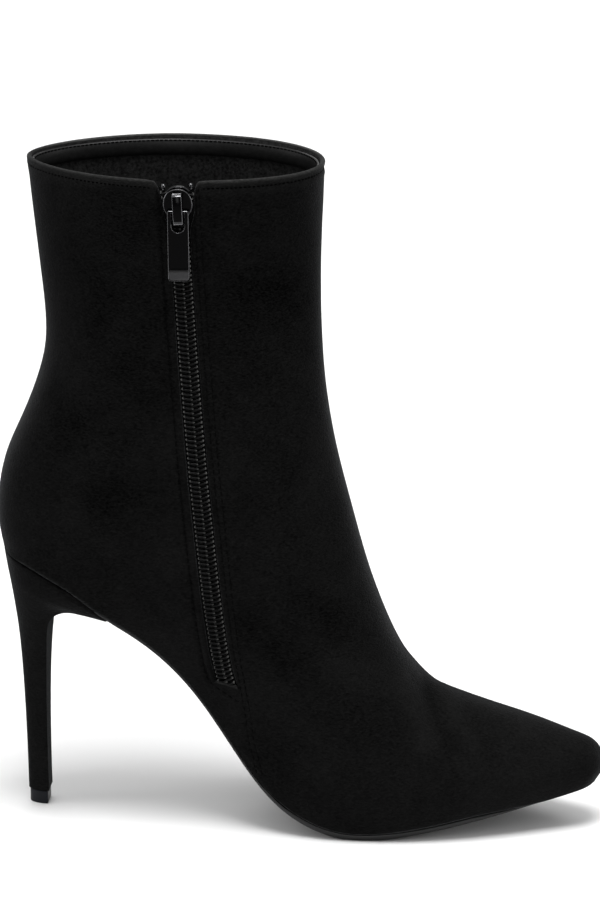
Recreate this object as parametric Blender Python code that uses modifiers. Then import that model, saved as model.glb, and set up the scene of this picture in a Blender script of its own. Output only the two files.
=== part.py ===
"""Left ankle boot on a slim covered heel: a pointed suede upper that closes with a zip on its inner side.

The boot is laid out in millimetres: x from the back of the heel to the toe, y from the inner side, which is
below zero and has the zip, to the outer side, and z up from the floor. Its pieces hang on one empty, which
puts the middle of the boot's box over the origin.
"""

import math
from typing import NamedTuple

import bmesh
import bpy
import numpy as np
from mathutils import Matrix, Vector
from mathutils.bvhtree import BVHTree

MM = 0.001

# Driving sizes, in millimetres
LENGTH = 225.0
HEEL_HEIGHT = 100.0
BALL_WIDTH = 74.0
WALL = 1.8
GAP = 0.3
OUTSOLE_THICKNESS = 2.5
OUTSOLE_INSET = 0.6
INSOLE_THICKNESS = 2.4
INSOLE_INSET = 3.7
TOP_PIECE_HEIGHT = 5.0
TOP_PIECE_INSET = 0.5
HEEL_SEAT_INSET = 0.4
FLAT_SPOT = 0.35

# Zip sizes, in millimetres
SLOT_HALF_WIDTH = 3.9
COIL_HALF_WIDTH = 3.2
COIL_TOP = -0.2
COIL_BOTTOM = -1.8
COIL_REACH = 4.7
COIL_END_GAP = 0.6
TAPE_TOP = -2.1
TAPE_BOTTOM = -2.7
TAPE_HALF_WIDTH = 11.0
STOP_ASIDE = (4.4, 5.7)
STOP_DEPTHS = (1.2, 2.4, 3.6)
HINGE_DEPTH = 10.8
HINGE_HEIGHT = 2.1
PULL_WIDTH = 7.7
PULL_LENGTH = 25.7
PULL_THICKNESS = 1.2


class Section(NamedTuple):
    """One section of the last, seen from the side and across.

    Places along the boot are in percent of LENGTH, heights in percent of HEEL_HEIGHT and widths in percent
    of BALL_WIDTH. A section runs from the back of the shaft, or from the feather edge of the sole, up to the
    ridge. Peak is the share of that way where it is widest, low and top are the powers of its round below
    and above the peak, lean moves the ridge across, and bow bulges the section forwards. Cut is 0 where the
    round starts level at the feather edge, and 1 where the edge cuts off the beginning of a round that would
    close behind it, as it does at the back of the seat.
    """

    place: str
    back_x: float
    back_z: float
    front_x: float
    front_z: float
    lean: float
    seat_in: float
    seat_out: float
    side_in: float
    side_out: float
    peak: float
    low: float
    top: float
    bow: float
    cut: float


SECTIONS = (
    Section("collar", 5.4, 251, 53.7, 251, 0, 0, 0, 43, 43, 0.5, 1.74, 2.1, 0, 1),
    Section("shaft", 6.8, 222, 53.63, 245.5, 0, 0, 0, 42.2, 42.2, 0.5, 1.85, 2.05, 0, 1),
    Section("narrow of the shaft", 8.2, 191, 53.54, 239, 0, 0, 0, 41.2, 41.2, 0.5, 1.96, 2, 0, 1),
    Section("ankle", 7.5, 172, 53.49, 234.5, 0, 0, 0, 40.6, 40.6, 0.5, 2.04, 2, 0, 1),
    Section("above the counter", 4.6, 153.5, 53.43, 229.5, -0.3, 0, 0, 40.5, 40.5, 0.49, 2.1, 2, 0, 1),
    Section("counter", 1.8, 138.5, 53.39, 224.5, -0.6, 0, 0, 40.8, 40.8, 0.48, 2.14, 2, 0, 1),
    Section("back of the heel", 0.4, 125, 53.35, 219, -1, 0, 0, 41, 41, 0.47, 2.22, 2, 0, 1),
    Section("heel", 0.05, 112, 53.31, 212.5, -1.5, 0, 0, 41.1, 41.1, 0.46, 2.25, 2, 0, 1),
    Section("rear of the seat", 0.9, 99.8, 53.3, 205, -2, 0, 0, 41.1, 41.1, 0.45, 2.25, 2, 0, 1),
    Section("seat round", 2.6, 100, 53.32, 197, -2.5, 16, 16, 40.9, 41.1, 0.44, 2.2, 2, 0, 1),
    Section("seat", 5.8, 98.6, 53.45, 187, -3, 26.5, 26.5, 40.8, 41.1, 0.43, 2.12, 2, 0, 1),
    Section("middle of the seat", 11.6, 92.8, 53.81, 173.5, -3.5, 33.2, 33.2, 40.5, 41.1, 0.42, 2, 2, 0, 0.9),
    Section("breast", 19.1, 82.6, 54.71, 157, -4, 32.4, 33.1, 39.9, 41.1, 0.4, 1.85, 2, 0, 0.7),
    Section("shank", 26.7, 70.2, 56.21, 139.5, -4, 28.4, 31.8, 39.2, 41.2, 0.38, 1.7, 2, 0, 0.5),
    Section("waist", 34, 53.4, 58.25, 121, -4, 27.7, 33.1, 38.9, 41.9, 0.35, 1.6, 2, 0, 0.35),
    Section("instep", 40.7, 32.4, 60.58, 102, -4, 31.1, 37.2, 40, 43.9, 0.31, 1.55, 2, 0, 0.2),
    Section("behind the ball", 47.6, 13.7, 63.24, 83.5, -3.5, 37.8, 43.9, 43.2, 48, 0.27, 1.5, 1.98, 0, 0.1),
    Section("ball", 56, 3.9, 66.62, 66, -3, 42.6, 50, 46.2, 52, 0.24, 1.5, 1.95, 0, 0),
    Section("front of the ball", 64.9, 3.1, 72.03, 52.5, -2.5, 42.6, 50.7, 45.4, 51.9, 0.23, 1.5, 1.9, 0, 0),
    Section("vamp", 73.3, 5.9, 80.14, 44.9, -2, 38.2, 45.3, 40.6, 46.8, 0.24, 1.5, 1.88, 0.2, 0),
    Section("toe box", 81.3, 9.4, 86.2, 41, -1.5, 30.5, 35.8, 32.8, 37.6, 0.26, 1.55, 1.85, 0.4, 0),
    Section("toe", 88.2, 12.8, 90.9, 37.6, -1, 21.6, 25, 24, 27, 0.3, 1.65, 1.85, 0.8, 0),
    Section("nose", 93.7, 15.3, 94.8, 34.4, -0.5, 13.8, 15.3, 16.2, 17.6, 0.36, 1.8, 1.9, 1.1, 0),
    Section("tip round", 97, 16.9, 97.6, 31.8, 0, 7.8, 8.4, 10.2, 10.8, 0.42, 1.95, 2, 1.4, 0),
    Section("tip", 98.4, 17.6, 99, 29.4, 0, 0, 0, 0, 0, 0.45, 2, 2, 1.6, 0),
)
COLUMNS = Section._fields[1:]
UNIT_OF = {"x": LENGTH / 100, "z": HEEL_HEIGHT / 100, "y": BALL_WIDTH / 100}
ALONG = ("back_x", "front_x", "bow")
ACROSS = ("lean", "seat_in", "seat_out", "side_in", "side_out")
UP = ("back_z", "front_z")
REAR = [section.place for section in SECTIONS].index("rear of the seat")
TIP = len(SECTIONS) - 1

# How finely the upper is divided: rows between two sections, and columns from feather edge to ridge
ROWS_PER_SECTION = 2
HALF_COLUMNS = 15
FINE_ROWS = 8
FINE_COLUMNS = 60

# How finely the sole plates are divided: steps along, the first steps from each end, and strips across
STATION_STEP = 7.5
STATION_ENDS = (0.0, 0.6, 2.0, 4.5)
SOLE_STRIPS = 4


class HeelRing(NamedTuple):
    """One ring of the heel: its back and front seen from the side, its half width, and how much of the
    seat's outline it keeps. Units are those of a Section."""

    back_x: float
    back_z: float
    front_x: float
    front_z: float
    half_width: float
    seat_share: float


HEEL_RINGS = (
    HeelRing(1.25, 94.8, 16.60, 81.2, 31.0, 0.9),
    HeelRing(1.58, 91.0, 14.40, 81.4, 26.8, 0.7),
    HeelRing(1.98, 86.5, 12.20, 81.0, 22.0, 0.4),
    HeelRing(2.38, 81.5, 10.20, 78.8, 17.6, 0.2),
    HeelRing(2.78, 75.8, 8.95, 75.0, 14.2, 0.0),
    HeelRing(3.15, 69.5, 8.45, 69.5, 11.9, 0.0),
    HeelRing(3.55, 60.0, 8.20, 60.0, 9.9, 0.0),
    HeelRing(3.90, 48.0, 8.05, 48.0, 8.5, 0.0),
    HeelRing(4.22, 33.0, 8.02, 33.0, 7.5, 0.0),
    HeelRing(4.45, 18.0, 8.08, 18.0, 7.0, 0.0),
    HeelRing(4.58, 5.3, 8.20, 5.3, 6.8, 0.0),
)
HEEL_LIP = 19.7
HEEL_EDGE = 2.2
HEEL_SIDE_STEPS = 9
BREAST_STEPS = 4

# Middle line of the zip, seen from the side, from the collar down: percent of LENGTH and of HEEL_HEIGHT
ZIP_LINE = (
    (31.4, 251),
    (32.35, 208.5),
    (33.5, 168.7),
    (34.6, 138),
    (35.6, 114.6),
    (36.6, 91),
    (37.9, 67),
    (38.9, 57),
)

# Half width of the slit by depth below the collar, where it opens out round the slider, in millimetres
SLOT_OPENING = ((-6, 9.0), (0, 7.2), (3, 6.0), (14, 5.8), (19, SLOT_HALF_WIDTH))
SLOT_DEPTHS = (-12, -6, 0, 3, 8, 14, 19)
SLOT_STEP = 8.0
SLOT_REACH = 6.0

# Inner edge of a tape by depth, where the tapes part round the slider's post, and how it narrows at its foot
TAPE_PARTING = ((0, 3.2), (6, 2.4), (9, 1.6), (13, 0.15))
TAPE_TAPER = 35.0
TAPE_BEGIN = 1.0
TAPE_TAIL = 2.0
COIL_SPLIT = 0.15
COIL_ROUND = 0.45
ZIP_FINE_DEPTH = 15.0
ZIP_FINE_STEP = 2.0
ZIP_STEP = 7.0

# Half outline of the slider's plates: distance above the hinge, half width, in millimetres
SLIDER_OUTLINE = (
    (8.1, 1.4),
    (7.6, 2.7),
    (6.6, 3.9),
    (5.0, 4.8),
    (3.0, 5.3),
    (1.0, 5.3),
    (-1.6, 4.3),
    (-5.8, 4.1),
)
# Heights of the slider's plates out from the upper, and corners of its post and flanges: across, up, out
SLIDER_TOP_PLATE = (0.15, 1.0)
SLIDER_BACK_PLATE = (-3.8, -3.0)
SLIDER_POST = ((-1.1, 5.2, -3.4), (1.1, 7.4, 0.6))
SLIDER_FLANGE = ((3.65, -5.2, -1.6), (4.75, 1.0, 0.6))
# Profile of the bridge that holds the pull: distance above the hinge, height out from the upper
BRIDGE_OUTSIDE = ((6.9, 0.6), (6.6, 2.6), (5.5, 4.0), (-4.4, 4.0), (-5.4, 3.0), (-5.6, 0.6))
BRIDGE_INSIDE = ((-4.6, 0.6), (-4.5, 2.6), (-3.9, 3.15), (5.0, 3.15), (5.7, 2.3), (5.9, 0.6))
BRIDGE_HALF_WIDTH = 1.75

# The pull's bent lip, its hole for the bridge and the bar that it hangs by, in millimetres
PULL_LIP = 4.6
PULL_KICK = 1.3
PULL_TOP = 0.5
PULL_EDGE = 0.2
HOLE_HALF_WIDTH = 2.35
HOLE_END = 7.7
HOLE_BAR = 0.55
HOLE_ARC_STEP = 15


def spline(knots, values, at):
    """The natural cubic spline through values at the knots, read at one or more places."""
    knots = np.asarray(knots, float)
    values = np.asarray(values, float)
    last = len(knots) - 1
    step = np.diff(knots)
    system = np.eye(last + 1)
    target = np.zeros_like(values)
    for i in range(1, last):
        system[i, i - 1 : i + 2] = step[i - 1], 2 * (step[i - 1] + step[i]), step[i]
        rise_after = (values[i + 1] - values[i]) / step[i]
        rise_before = (values[i] - values[i - 1]) / step[i - 1]
        target[i] = 6 * (rise_after - rise_before)
    bend = np.linalg.solve(system, target)
    at = np.atleast_1d(np.asarray(at, float))
    i = np.clip(np.searchsorted(knots, at, side="right") - 1, 0, last - 1)
    width = step[i]
    near = (knots[i + 1] - at) / width
    far = 1 - near
    near, far, width = (part.reshape((-1,) + (1,) * (values.ndim - 1)) for part in (near, far, width))
    curve = ((near**3 - near) * bend[i] + (far**3 - far) * bend[i + 1]) * width**2 / 6
    return near * values[i] + far * values[i + 1] + curve


def section_table():
    """The columns of SECTIONS in millimetres, by name."""
    table = {}
    for name in COLUMNS:
        column = np.array([getattr(section, name) for section in SECTIONS], float)
        if name in ALONG:
            column = column * UNIT_OF["x"]
        elif name in UP:
            column = column * UNIT_OF["z"]
        elif name in ACROSS:
            column = column * UNIT_OF["y"]
        table[name] = column
    return table


TABLE = section_table()


def section_at(place):
    """The section at a place counted in rows of SECTIONS, as a dictionary of its columns."""
    rows = np.arange(TIP + 1)
    found = {}
    for name in COLUMNS:
        first, last = 0, TIP
        if name in ("back_x", "back_z"):
            first, last = (0, REAR) if place <= REAR else (REAR, TIP)
        elif name in ("seat_in", "seat_out"):
            first = REAR
        part = slice(first, last + 1)
        found[name] = float(spline(rows[part], TABLE[name][part], place)[0])
    if place <= REAR:
        found["seat_in"] = found["seat_out"] = 0.0
    return found


def half_section(place, side, shares):
    """Points of one side of a section, at shares of its length from the feather edge or back to the ridge."""
    row = section_at(place)
    seat, wide = (row["seat_in"], row["side_in"]) if side < 0 else (row["seat_out"], row["side_out"])
    low, top, peak = 2 / row["low"], 2 / row["top"], row["peak"]
    cut = min(max(row["cut"], 0.0), 1.0)
    start = cut * math.asin(min(seat / wide, 0.999) ** (1 / low)) if seat > 0 else 0.0
    turn = np.linspace(start, math.pi / 2, 60)
    below = peak * (1 - (np.cos(turn) / math.cos(start)) ** low)
    begun = math.sin(start) ** low
    widen = (np.sin(turn) ** low - begun) / (1 - begun)
    back = np.linspace(0, math.pi / 2, 60)[1:]
    above = peak + (1 - peak) * np.sin(back) ** top
    rise = np.concatenate([below, above])
    half = np.concatenate([seat + (wide - seat) * widen, wide * np.cos(back) ** top])
    along = np.array([row["front_x"] - row["back_x"], row["front_z"] - row["back_z"]])
    reach = along / np.linalg.norm(along)
    bulge = row["bow"] * 4 * rise * (1 - rise)
    x = row["back_x"] + along[0] * rise + reach[1] * bulge
    z = row["back_z"] + along[1] * rise - reach[0] * bulge
    y = side * half + row["lean"] * rise**2
    points = np.column_stack([x, y, z])
    length = np.concatenate([[0], np.cumsum(np.linalg.norm(np.diff(points, axis=0), axis=1))])
    wanted = np.asarray(shares) * length[-1]
    return np.column_stack([np.interp(wanted, length, points[:, i]) for i in range(3)])


def outer_grid(rows_per_section, half_columns):
    """The outside of the upper as rows of points, from the inner feather edge over the ridge to the outer."""
    shares = np.linspace(0, 1, half_columns + 1)
    grid = []
    for place in np.linspace(0, TIP, TIP * rows_per_section + 1):
        inner = half_section(place, -1, shares)
        outer = half_section(place, 1, shares)
        grid.append(np.concatenate([inner, outer[-2::-1]]))
    return np.array(grid)


class SoleLine:
    """The feather edge of the last laid flat: distance along the bottom, and half widths to each side."""

    def __init__(self):
        places = np.linspace(REAR, TIP, 600)
        rows = [section_at(place) for place in places]
        self.middle = np.array([[row["back_x"], row["back_z"]] for row in rows])
        step = np.linalg.norm(np.diff(self.middle, axis=0), axis=1)
        self.along = np.concatenate([[0], np.cumsum(step)])
        inner = np.array([row["seat_in"] for row in rows])
        outer = np.array([row["seat_out"] for row in rows])
        self.width = {-1: inner, 1: outer}

    def inset(self, side, distance):
        """(distance along, half width) of the outline moved inwards."""
        toward = np.gradient(self.along)
        spread = np.gradient(self.width[side])
        size = np.hypot(toward, spread)
        along = self.along + distance * spread / size
        return along, self.width[side] - distance * toward / size

    def ends(self, distance):
        """Where the outline moved inwards begins and ends."""
        inside = [along[width > 0] for along, width in (self.inset(-1, distance), self.inset(1, distance))]
        return max(part.min() for part in inside), min(part.max() for part in inside)

    def half_width(self, at, side, distance):
        along, width = self.inset(side, distance)
        order = np.argsort(along)
        return np.maximum(np.interp(at, along[order], width[order]), 0)

    def at_x(self, x):
        """Distance along the bottom to a place x."""
        return float(np.interp(x, self.middle[:, 0], self.along))

    def point(self, at, y, lift):
        """A point over the bottom: distance along, place across, and height at right angles to the bottom."""
        x = np.interp(at, self.along, self.middle[:, 0])
        z = np.interp(at, self.along, self.middle[:, 1])
        ahead = np.clip(at + 1, 0, self.along[-1])
        behind = np.clip(at - 1, 0, self.along[-1])
        slope_x, slope_z = (
            np.interp(ahead, self.along, self.middle[:, i]) - np.interp(behind, self.along, self.middle[:, i])
            for i in (0, 1)
        )
        size = math.hypot(slope_x, slope_z)
        return np.array([x - slope_z / size * lift, y, z + slope_x / size * lift])


SOLE = SoleLine()


class ZipLine:
    """Frames along the zip: a place on the upper's inner side, across it, up along the zip, and out."""

    def __init__(self, grid):
        rows, columns = grid.shape[:2]
        corners = grid.reshape(-1, 3)
        faces = [
            (r * columns + c, (r + 1) * columns + c, (r + 1) * columns + c + 1, r * columns + c + 1)
            for r in range(rows - 1)
            for c in range(columns // 2)
        ]
        self.tree = BVHTree.FromPolygons([Vector(corner) for corner in corners], faces)
        line = np.array(ZIP_LINE) * (UNIT_OF["x"], UNIT_OF["z"])
        knots = np.arange(len(line))
        fine = spline(knots, line, np.linspace(0, len(line) - 1, 400))
        points = np.array([self.on_side(x, z) for x, z in fine])
        self.length = np.concatenate([[0], np.cumsum(np.linalg.norm(np.diff(points, axis=0), axis=1))])
        self.points = points

    def on_side(self, x, z):
        """The point of the upper's inner side at x and z."""
        top = TABLE["back_z"][0] - 0.5
        hit = self.tree.ray_cast(Vector((x, -2 * BALL_WIDTH, min(z, top))), Vector((0, 1, 0)))[0]
        return np.array([x, hit.y, z])

    def frame(self, depth):
        """(place, across, up, out) at a distance down the zip from the collar."""
        def place(at):
            return np.array([np.interp(at, self.length, self.points[:, i]) for i in range(3)])

        inside = min(max(depth, 4), self.length[-1] - 4)
        up = place(inside - 4) - place(inside + 4)
        up = up / np.linalg.norm(up)
        x, _, z = place(inside)
        fore = self.on_side(x + 4, z) - self.on_side(x - 4, z)
        out = np.cross(fore, up)
        out = out / np.linalg.norm(out)
        across = np.cross(up, out)
        held = min(max(depth, 0), self.length[-1])
        return place(held) + up * (held - depth), across, up, out

    def point(self, depth, aside, height):
        """A point by the zip: down from the collar, aside towards the toe, and out from the upper."""
        place, across, up, out = self.frame(depth)
        base = place + across * aside
        hit = self.tree.ray_cast(Vector(base + out * 15), Vector(-out), 30)[0]
        return (base if hit is None else np.array(hit)) + out * height

    def matrix(self, depth, height):
        """Placement of a piece of the zip: x across, y up and z out, in metres."""
        place, across, up, out = self.frame(depth)
        turned = np.eye(4)
        turned[:3, 0], turned[:3, 1], turned[:3, 2] = across, up, out
        turned[:3, 3] = (place + out * height) * MM
        return Matrix(turned)


def clear_scene():
    for obj in list(bpy.data.objects):
        bpy.data.objects.remove(obj, do_unlink=True)
    for collection in list(bpy.data.collections):
        bpy.data.collections.remove(collection)


def new_collection(name):
    collection = bpy.data.collections.new(name)
    bpy.context.scene.collection.children.link(collection)
    return collection


def new_material(name, colour, roughness, metallic=0.0):
    material = bpy.data.materials.new(name)
    material.use_nodes = True
    shader = material.node_tree.nodes["Principled BSDF"]
    shader.inputs["Base Color"].default_value = (*colour, 1)
    shader.inputs["Roughness"].default_value = roughness
    shader.inputs["Metallic"].default_value = metallic
    return material


def mesh_of(name, points, faces, closed=True):
    """A mesh from points in millimetres, with the points that fall together made one."""
    work = bmesh.new()
    corners = [work.verts.new(np.asarray(point) * MM) for point in points]
    for face in faces:
        work.faces.new([corners[i] for i in face])
    bmesh.ops.remove_doubles(work, verts=work.verts, dist=1e-6)
    bmesh.ops.dissolve_degenerate(work, edges=work.edges, dist=1e-6)
    if closed:
        bmesh.ops.recalc_face_normals(work, faces=work.faces)
    mesh = bpy.data.meshes.new(name)
    work.to_mesh(mesh)
    work.free()
    return mesh


def add_object(name, mesh, collection, material=None, parent=None):
    obj = bpy.data.objects.new(name, mesh)
    collection.objects.link(obj)
    if material:
        mesh.materials.append(material)
    mesh.shade_smooth()
    mesh.set_sharp_from_angle(angle=math.radians(40))
    obj.parent = parent
    return obj


def rings_to_mesh(name, rings, caps=True):
    """A loft through closed rings with the same number of points."""
    count = len(rings[0])
    points = np.concatenate(rings)
    faces = []
    for r in range(len(rings) - 1):
        for i in range(count):
            j = (i + 1) % count
            faces.append((r * count + i, r * count + j, (r + 1) * count + j, (r + 1) * count + i))
    if caps:
        faces.append(tuple(range(count)))
        faces.append(tuple(range(len(points) - count, len(points))))
    return mesh_of(name, points, faces)


def make_cutter(name, mesh, collection):
    cutter = add_object(name, mesh, collection)
    cutter.hide_render = True
    cutter.display_type = "WIRE"
    return cutter


def boolean(obj, other, operation):
    modifier = obj.modifiers.new(f"{operation.lower()} {other.name}", "BOOLEAN")
    modifier.operation = operation
    modifier.object = other
    return modifier


def slot_half_width(depth):
    """Half the width of the slit in the upper, which opens out round the slider towards the collar."""
    depths, halves = zip(*SLOT_OPENING)
    return float(np.interp(depth, depths, halves))


def slot_mesh(zip_line):
    """The space that the slit takes out of the upper."""
    end = zip_line.length[-1]
    below = np.arange(SLOT_DEPTHS[-1] + SLOT_STEP, end - SLOT_STEP / 2, SLOT_STEP)
    depths = np.concatenate([SLOT_DEPTHS, below, [end]])
    rings = []
    for depth in depths:
        half, reach = slot_half_width(depth), SLOT_REACH
        corners = ((-half, reach), (half, reach), (half, -reach), (-half, -reach))
        rings.append(np.array([zip_line.point(depth, aside, height) for aside, height in corners]))
    return rings_to_mesh("zip slit", rings)


def upper_mesh():
    """The outside of the upper: closed rings down the shaft, open ones along the foot."""
    grid = outer_grid(ROWS_PER_SECTION, HALF_COLUMNS)
    rows, columns = grid.shape[:2]
    faces = [
        (r * columns + c, (r + 1) * columns + c, (r + 1) * columns + c + 1, r * columns + c + 1)
        for r in range(rows - 1)
        for c in range(columns - 1)
    ]
    return mesh_of("upper", grid.reshape(-1, 3), faces, closed=False)


def sole_stations(begin, end):
    """Distances along the bottom: the same for every plate, and close together at the plate's own ends."""
    shared = np.arange(0, SOLE.along[-1], STATION_STEP)
    clear = STATION_ENDS[-1] + 2
    between = shared[(shared > begin + clear) & (shared < end - clear)]
    ends = np.array(STATION_ENDS)
    return np.concatenate([begin + ends, between, (end - ends)[::-1]])


def sole_plate(begin, end, inset, low, high):
    """Points and faces of a plate along the bottom of the last, between two heights over the feather edge."""
    along = sole_stations(begin, end)
    stations, strips = len(along), SOLE_STRIPS
    across = np.linspace(0, 1, strips + 1)
    points = []
    for lift in (low, high):
        for at in along:
            inner = -SOLE.half_width(at, -1, inset)
            outer = SOLE.half_width(at, 1, inset)
            points += [SOLE.point(at, inner + (outer - inner) * part, lift) for part in across]
    points = np.array(points)
    columns = strips + 1
    layer = stations * columns

    def index(level, station, column):
        return level * layer + station * columns + column

    faces = []
    for s in range(stations - 1):
        for level in (0, 1):
            for c in range(strips):
                corners = (index(level, s, c), index(level, s, c + 1))
                faces.append(corners + (index(level, s + 1, c + 1), index(level, s + 1, c)))
        for c in (0, strips):
            faces.append((index(0, s, c), index(0, s + 1, c), index(1, s + 1, c), index(1, s, c)))
    for s in (0, stations - 1):
        for c in range(strips):
            faces.append((index(0, s, c), index(0, s, c + 1), index(1, s, c + 1), index(1, s, c)))
    return points, faces


def outsole_mesh():
    """The thin sole, from the lip of the heel to the toe, with a flat spot under the ball."""
    begin = SOLE.at_x(HEEL_LIP * UNIT_OF["x"]) + GAP
    end = SOLE.ends(OUTSOLE_INSET)[1]
    low = -GAP - OUTSOLE_THICKNESS
    points, faces = sole_plate(begin, end, OUTSOLE_INSET, low, -GAP)
    bottom = points[: len(points) // 2]
    bottom[:, 2] = np.where(bottom[:, 2] < FLAT_SPOT, 0, bottom[:, 2])
    return mesh_of("outsole", points, faces)


def insole_mesh():
    begin, end = SOLE.ends(INSOLE_INSET)
    points, faces = sole_plate(begin, end, INSOLE_INSET, 0, INSOLE_THICKNESS)
    return mesh_of("insole", points, faces)


def heel_ring(back, front, half_width, seat_shape, seat_share):
    """A closed ring with a round back and a flat breast, from the inner front corner round the back."""
    turn = np.linspace(0, math.pi / 2, HEEL_SIDE_STEPS + 1)
    forward = 1 - np.cos(turn)
    spread = seat_share * seat_shape + (1 - seat_share) * np.sin(turn)
    side = np.column_stack([
        back[0] + (front[0] - back[0]) * forward,
        half_width * spread,
        back[1] + (front[1] - back[1]) * forward,
    ])
    inner = side[::-1] * (1, -1, 1)
    breast = np.linspace(side[-1], inner[0], BREAST_STEPS + 1)[1:-1]
    return np.concatenate([inner, side[1:], breast])


def seat_ring(widths, lift):
    """The seat's outline at a height over the feather edge, from the inner front corner round the back."""
    lip = SOLE.at_x(HEEL_LIP * UNIT_OF["x"])
    forward = 1 - np.cos(np.linspace(0, math.pi / 2, HEEL_SIDE_STEPS + 1))
    inner = np.array([SOLE.point(lip * part, -width, lift) for part, width in zip(forward, widths[-1])])
    outer = np.array([SOLE.point(lip * part, width, lift) for part, width in zip(forward, widths[1])])
    breast = np.linspace(outer[-1], inner[-1], BREAST_STEPS + 1)[1:-1]
    return np.concatenate([inner[::-1], outer[1:], breast])


def heel_rings():
    """Rings of the heel from the seat down. The first two are the top and the foot of the seat's edge."""
    lip = SOLE.at_x(HEEL_LIP * UNIT_OF["x"])
    forward = 1 - np.cos(np.linspace(0, math.pi / 2, HEEL_SIDE_STEPS + 1))
    widths = {}
    for side in (-1, 1):
        widths[side] = np.array([SOLE.half_width(lip * part, side, HEEL_SEAT_INSET) for part in forward])
    seat_shape = (widths[-1] + widths[1]) / (widths[-1] + widths[1]).max()
    rings = [seat_ring(widths, -GAP), seat_ring(widths, -GAP - HEEL_EDGE)]
    for ring in HEEL_RINGS:
        back = (ring.back_x * UNIT_OF["x"], ring.back_z * UNIT_OF["z"])
        front = (ring.front_x * UNIT_OF["x"], ring.front_z * UNIT_OF["z"])
        rings.append(heel_ring(back, front, ring.half_width * UNIT_OF["y"], seat_shape, ring.seat_share))
    return rings


def heel_mesh():
    """The heel: a loft whose top is ruled across, as the bottom of the last is."""
    rings = heel_rings()
    count = len(rings[0])
    points = np.concatenate(rings)
    faces = []
    for r in range(len(rings) - 1):
        for i in range(count):
            j = (i + 1) % count
            faces.append((r * count + i, r * count + j, (r + 1) * count + j, (r + 1) * count + i))
    across = 2 * HEEL_SIDE_STEPS
    faces.append((0,) + tuple(range(count - 1, across, -1)) + (across, across - 1, 1))
    for i in range(1, HEEL_SIDE_STEPS - 1):
        faces.append((i, across - i, across - i - 1, i + 1))
    faces.append((HEEL_SIDE_STEPS - 1, HEEL_SIDE_STEPS + 1, HEEL_SIDE_STEPS))
    faces.append(tuple(range(len(points) - count, len(points))))
    return mesh_of("heel", points, faces)


def top_piece_mesh():
    """The wearing tip, a little smaller than the end of the heel."""
    end = HEEL_RINGS[-1]
    back = end.back_x * UNIT_OF["x"] + TOP_PIECE_INSET
    front = end.front_x * UNIT_OF["x"] - TOP_PIECE_INSET
    half = end.half_width * UNIT_OF["y"] - TOP_PIECE_INSET
    plain = np.zeros(HEEL_SIDE_STEPS + 1)
    rings = [heel_ring((back, z), (front, z), half, plain, 0) for z in (0, TOP_PIECE_HEIGHT)]
    return rings_to_mesh("top_piece", rings)


def zip_strip(name, zip_line, depths, outline):
    """A long piece of the zip, from an outline of (aside, height) points at each depth."""
    rings = []
    for depth in depths:
        rings.append(np.array([zip_line.point(depth, aside, height) for aside, height in outline(depth)]))
    return rings_to_mesh(name, rings)


def zip_depths(begin, end):
    """Distances down the zip, close together by the slider."""
    near = np.arange(begin, ZIP_FINE_DEPTH, ZIP_FINE_STEP)
    return np.concatenate([near, np.arange(ZIP_FINE_DEPTH, end - ZIP_STEP / 2, ZIP_STEP), [end]])


def tape_outline(sign, end):
    """Outline of one tape, which moves aside round the slider's post and narrows at its lower end."""
    def outline(depth):
        edge = float(np.interp(depth, *zip(*TAPE_PARTING)))
        far_edge = float(np.interp(depth, (end - TAPE_TAPER, end), (TAPE_HALF_WIDTH, TAPE_HALF_WIDTH / 2)))
        asides = np.array([edge, (edge + far_edge) / 2, far_edge]) * sign
        top = [(aside, TAPE_TOP) for aside in asides]
        return top + [(aside, TAPE_BOTTOM) for aside in asides[::-1]]

    return outline


def coil_outline(sign):
    """Outline of one closed row of coil, with its corners taken off."""
    left, right = COIL_SPLIT, COIL_HALF_WIDTH
    corners = (
        (left + COIL_ROUND, COIL_TOP),
        (right - COIL_ROUND, COIL_TOP),
        (right, COIL_TOP - COIL_ROUND),
        (right, COIL_BOTTOM + COIL_ROUND),
        (right - COIL_ROUND, COIL_BOTTOM),
        (left + COIL_ROUND, COIL_BOTTOM),
        (left, COIL_BOTTOM + COIL_ROUND),
        (left, COIL_TOP - COIL_ROUND),
    )
    return lambda depth: [(aside * sign, height) for aside, height in corners]


def stop_outline(sign):
    """Outline of the end stop that closes on the edge of a tape beside the slider."""
    near, far = STOP_ASIDE
    corners = ((near, COIL_TOP), (far, COIL_TOP), (far, COIL_BOTTOM), (near, COIL_BOTTOM))
    return lambda depth: [(aside * sign, height) for aside, height in corners]


def box_mesh(name, low, high):
    work = bmesh.new()
    bmesh.ops.create_cube(work, size=1)
    low, high = Vector(low) * MM, Vector(high) * MM
    for corner in work.verts:
        corner.co = [low[i] + (corner.co[i] + 0.5) * (high[i] - low[i]) for i in range(3)]
    mesh = bpy.data.meshes.new(name)
    work.to_mesh(mesh)
    work.free()
    return mesh


def slab_mesh(name, half_outline, low, high):
    """A flat plate with a mirrored outline of (up, half width) points, between two heights."""
    right = [(width, up) for up, width in half_outline]
    outline = np.array(right + [(-width, up) for width, up in right[::-1]])
    rings = [np.column_stack([outline, np.full(len(outline), height)]) for height in (low, high)]
    return rings_to_mesh(name, rings)


def strap_mesh(name, profile, half_width):
    """A bent strap: a closed profile of (up, out) points, as wide as stated."""
    profile = np.array(profile)
    rings = [np.column_stack([np.full(len(profile), x), profile]) for x in (-half_width, half_width)]
    return rings_to_mesh(name, rings)


def join_meshes(obj, meshes, helpers):
    """Joins further meshes to an object with Boolean unions."""
    for mesh in meshes:
        boolean(obj, make_cutter(mesh.name, mesh, helpers), "UNION").solver = "EXACT"


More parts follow.
